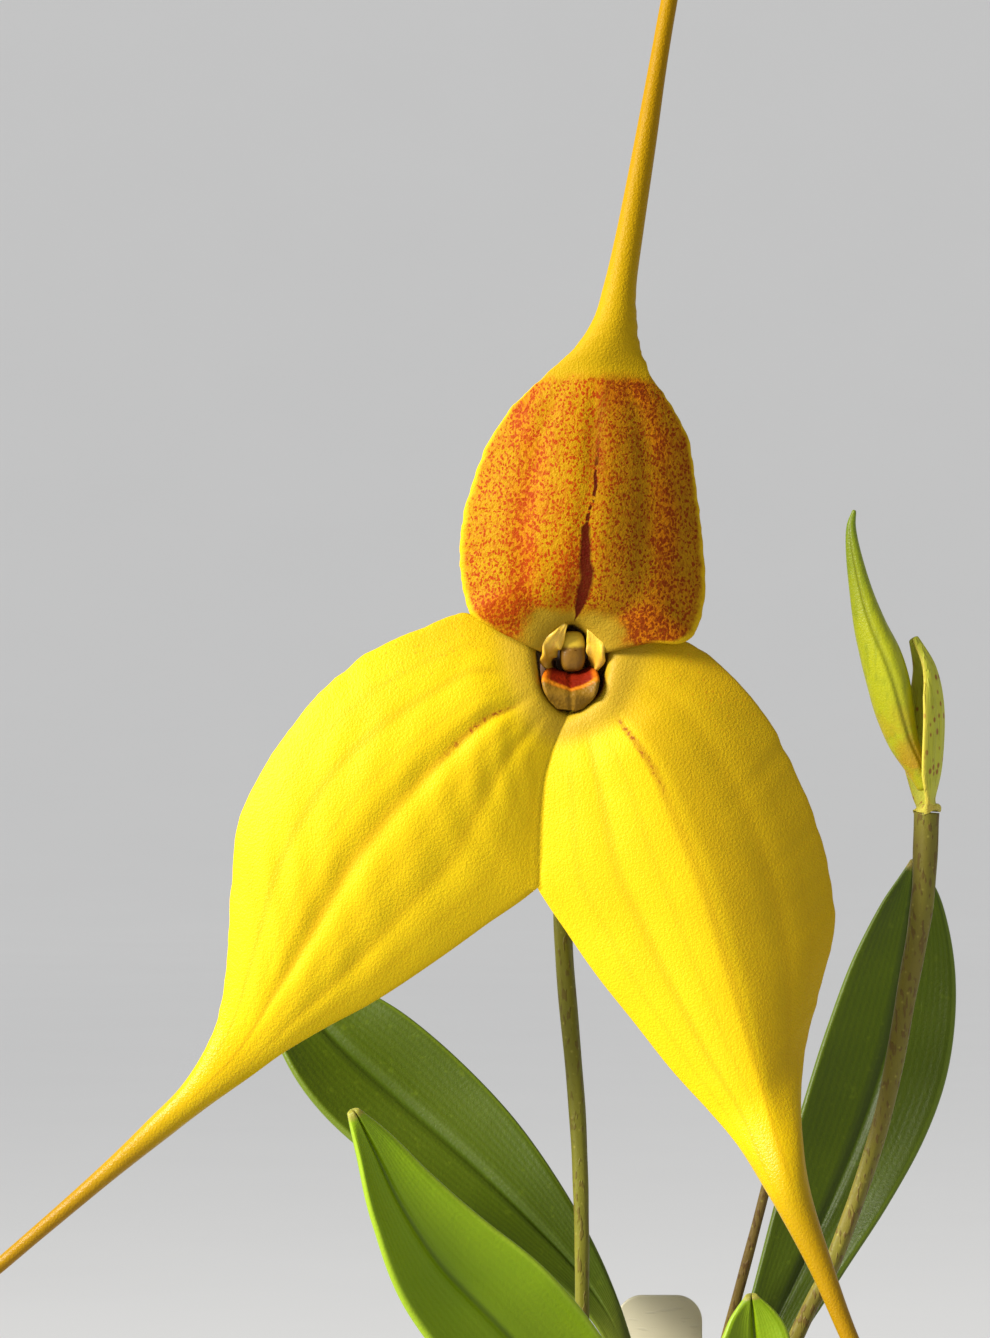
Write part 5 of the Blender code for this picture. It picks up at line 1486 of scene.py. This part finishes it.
def scatter(name, paint, models, count, sizes, seed, clear_of, rise):
    """Copies of a few models, each turned and sized, lying on the mix and joined to one piece."""
    draw = random.Random(seed)
    made = []
    while len(made) < count:
        long, wide, thick = (draw.uniform(*span) for span in sizes)
        radius = math.sqrt(draw.random()) * (MIX_REACH - long / 2)
        angle = draw.uniform(0, 2 * math.pi)
        spot = (radius * math.cos(angle), radius * math.sin(angle))
        if any(math.hypot(spot[0] - x, spot[1] - y) < keep + long * 0.55 for x, y, keep in clear_of):
            continue
        source = models[len(made) % len(models)]
        copy = bpy.data.objects.new(name, source.data.copy())
        bpy.context.collection.objects.link(copy)
        points = np.array([v.co[:] for v in copy.data.vertices]) * (long, wide, thick)
        tilt, roll, spin = draw.gauss(0, 0.25), draw.gauss(0, 0.2), draw.uniform(0, 6.28)
        points = turned(points, tilt, roll, spin)
        points += (*spot, MIX_TOP + rise + draw.uniform(0.0, 0.35) * thick - MIX_FALL * radius)
        copy.data.vertices.foreach_set("co", (points * MM).ravel())
        store(copy, "tone", [draw.random()] * len(points))
        made.append(copy)
    deselect()
    for copy in made:
        copy.select_set(True)
    bpy.context.view_layer.objects.active = made[0]
    bpy.ops.object.join()
    for source in models:
        bpy.data.objects.remove(source, do_unlink=True)
    piece = bpy.context.object
    piece.data.materials.clear()
    piece.data.materials.append(paint)
    keep_edges(piece, 35)
    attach(piece, "root")
    print(name + ":", len(piece.data.polygons), "faces")


def turned(points, tilt, roll, spin):
    """Points turned about X, then Y, then Z."""
    for angle, (i, j) in ((tilt, (1, 2)), (roll, (2, 0)), (spin, (0, 1))):
        first, second = points[:, i].copy(), points[:, j].copy()
        points[:, i] = first * math.cos(angle) - second * math.sin(angle)
        points[:, j] = first * math.sin(angle) + second * math.cos(angle)
    return points


def top_of_pot():
    """Paint the mix, then strew bark and grit on it, clear of stems and label."""
    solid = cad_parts["potting_mix"]
    solid.data.materials.clear()
    solid.data.materials.append(mix_paint())
    feet = [(path[0][0], path[0][1], widths[0] + 0.4) for path, widths, *_ in LEAVES.values()]
    feet += [(path[0][0], path[0][1], radii[0] + 0.4) for path, radii, _ in STALKS.values()]
    feet += [(x, 14.0, 1.2) for x in (-4.5, -2.0, 1.0, 4.0, 6.5)]
    feet += [(6.7, 4.3, 1.6), (0.2, 2.0, 1.6)]
    scatter("bark_chips", bark_paint(), [chip_model(s) for s in range(6)], 300,
            ((3.0, 8.0), (2.2, 4.5), (1.0, 2.2)), 5, feet, 0.5)
    scatter("grit", grit_paint(), [chip_model(s + 20) for s in range(3)], 46,
            ((1.2, 2.4), (1.1, 2.0), (1.0, 1.8)), 8, feet, 1.2)


top_of_pot()

# %% [markdown]
# ## Plant label
# A blank plastic label stands in the mix behind the stalks. It is a slab with rounded upper
# corners: the two short edges at its top's ends are bevelled widely, then every edge a little.

# %% Label
LABEL_WIDTH = 10.0
LABEL_THICKNESS = 0.9
LABEL_TOP = 87.0
LABEL_PLACE = (1.0, 14.0)
LABEL_CORNER = 3.0


def label_paint():
    look = Finish("weathered_plastic", roughness=0.45, subsurface_weight=0.1, subsurface_scale=0.001,
                  subsurface_radius=(1.0, 1.0, 0.9))
    height = look.height()
    drift = look.noise(7.0, 4.0)
    skin = look.mix(drift, (0.58, 0.53, 0.36), (0.66, 0.62, 0.46))
    skin = look.mix((1 - look.step(height + 5 * (drift - 0.5), 56.0, 66.0)) * 0.5, skin, (0.36, 0.28, 0.17))
    scuff = look.step(look.noise(0.6, 2.0, vector=look.stretched(0.2, 1.0, 1.0)), 0.58, 0.7)
    skin = look.mix(scuff * 0.25, skin, (0.50, 0.46, 0.36))
    return look.wear(skin, 0.38 + 0.3 * drift, look.relief(scuff + 0.3 * look.noise(0.3), 0.03))


def label():
    deselect()
    middle = (STALK_FOOT + LABEL_TOP) / 2
    bpy.ops.mesh.primitive_cube_add(size=1.0, location=(0, 0, 0))
    plate = bpy.context.object
    plate.name = plate.data.name = "blank_label"
    size = (LABEL_WIDTH, LABEL_THICKNESS, LABEL_TOP - STALK_FOOT)
    bpy.ops.object.mode_set(mode="EDIT")
    bpy.ops.transform.resize(value=[s * MM for s in size])
    bpy.ops.transform.translate(value=(LABEL_PLACE[0] * MM, LABEL_PLACE[1] * MM, middle * MM))
    bpy.ops.mesh.select_mode(type="EDGE")
    bpy.ops.mesh.select_all(action="DESELECT")
    shell = bmesh.from_edit_mesh(plate.data)
    for edge in shell.edges:
        high = all(v.co.z > (LABEL_TOP - 1) * MM for v in edge.verts)
        edge.select = high and abs(edge.verts[0].co.y - edge.verts[1].co.y) > LABEL_THICKNESS * MM / 2
    shell.select_flush_mode()
    bmesh.update_edit_mesh(plate.data)
    bpy.ops.mesh.bevel(offset=LABEL_CORNER * MM, segments=12, affect="EDGES")
    bpy.ops.object.mode_set(mode="OBJECT")
    soften = plate.modifiers.new("soften", "BEVEL")
    soften.width = 0.18 * MM
    soften.segments = 3
    soften.limit_method = "ANGLE"
    soften.angle_limit = math.radians(50)
    bpy.ops.object.modifier_apply(modifier=soften.name)
    settle(plate, label_paint(), "label", "plant_label")
    keep_edges(plate, 40)


label()

# %% [markdown]
# ## Size
# The looks must stay the size of the solids, so both boxes are printed side by side.

# %% Print the boxes and finish
boxes = {"cad": [list(corner) for corner in CAD_BOX], "visual": [list(corner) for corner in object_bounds()]}
for name, box in boxes.items():
    print(name, "box in mm:", [[round(c / MM, 1) for c in corner] for corner in box])
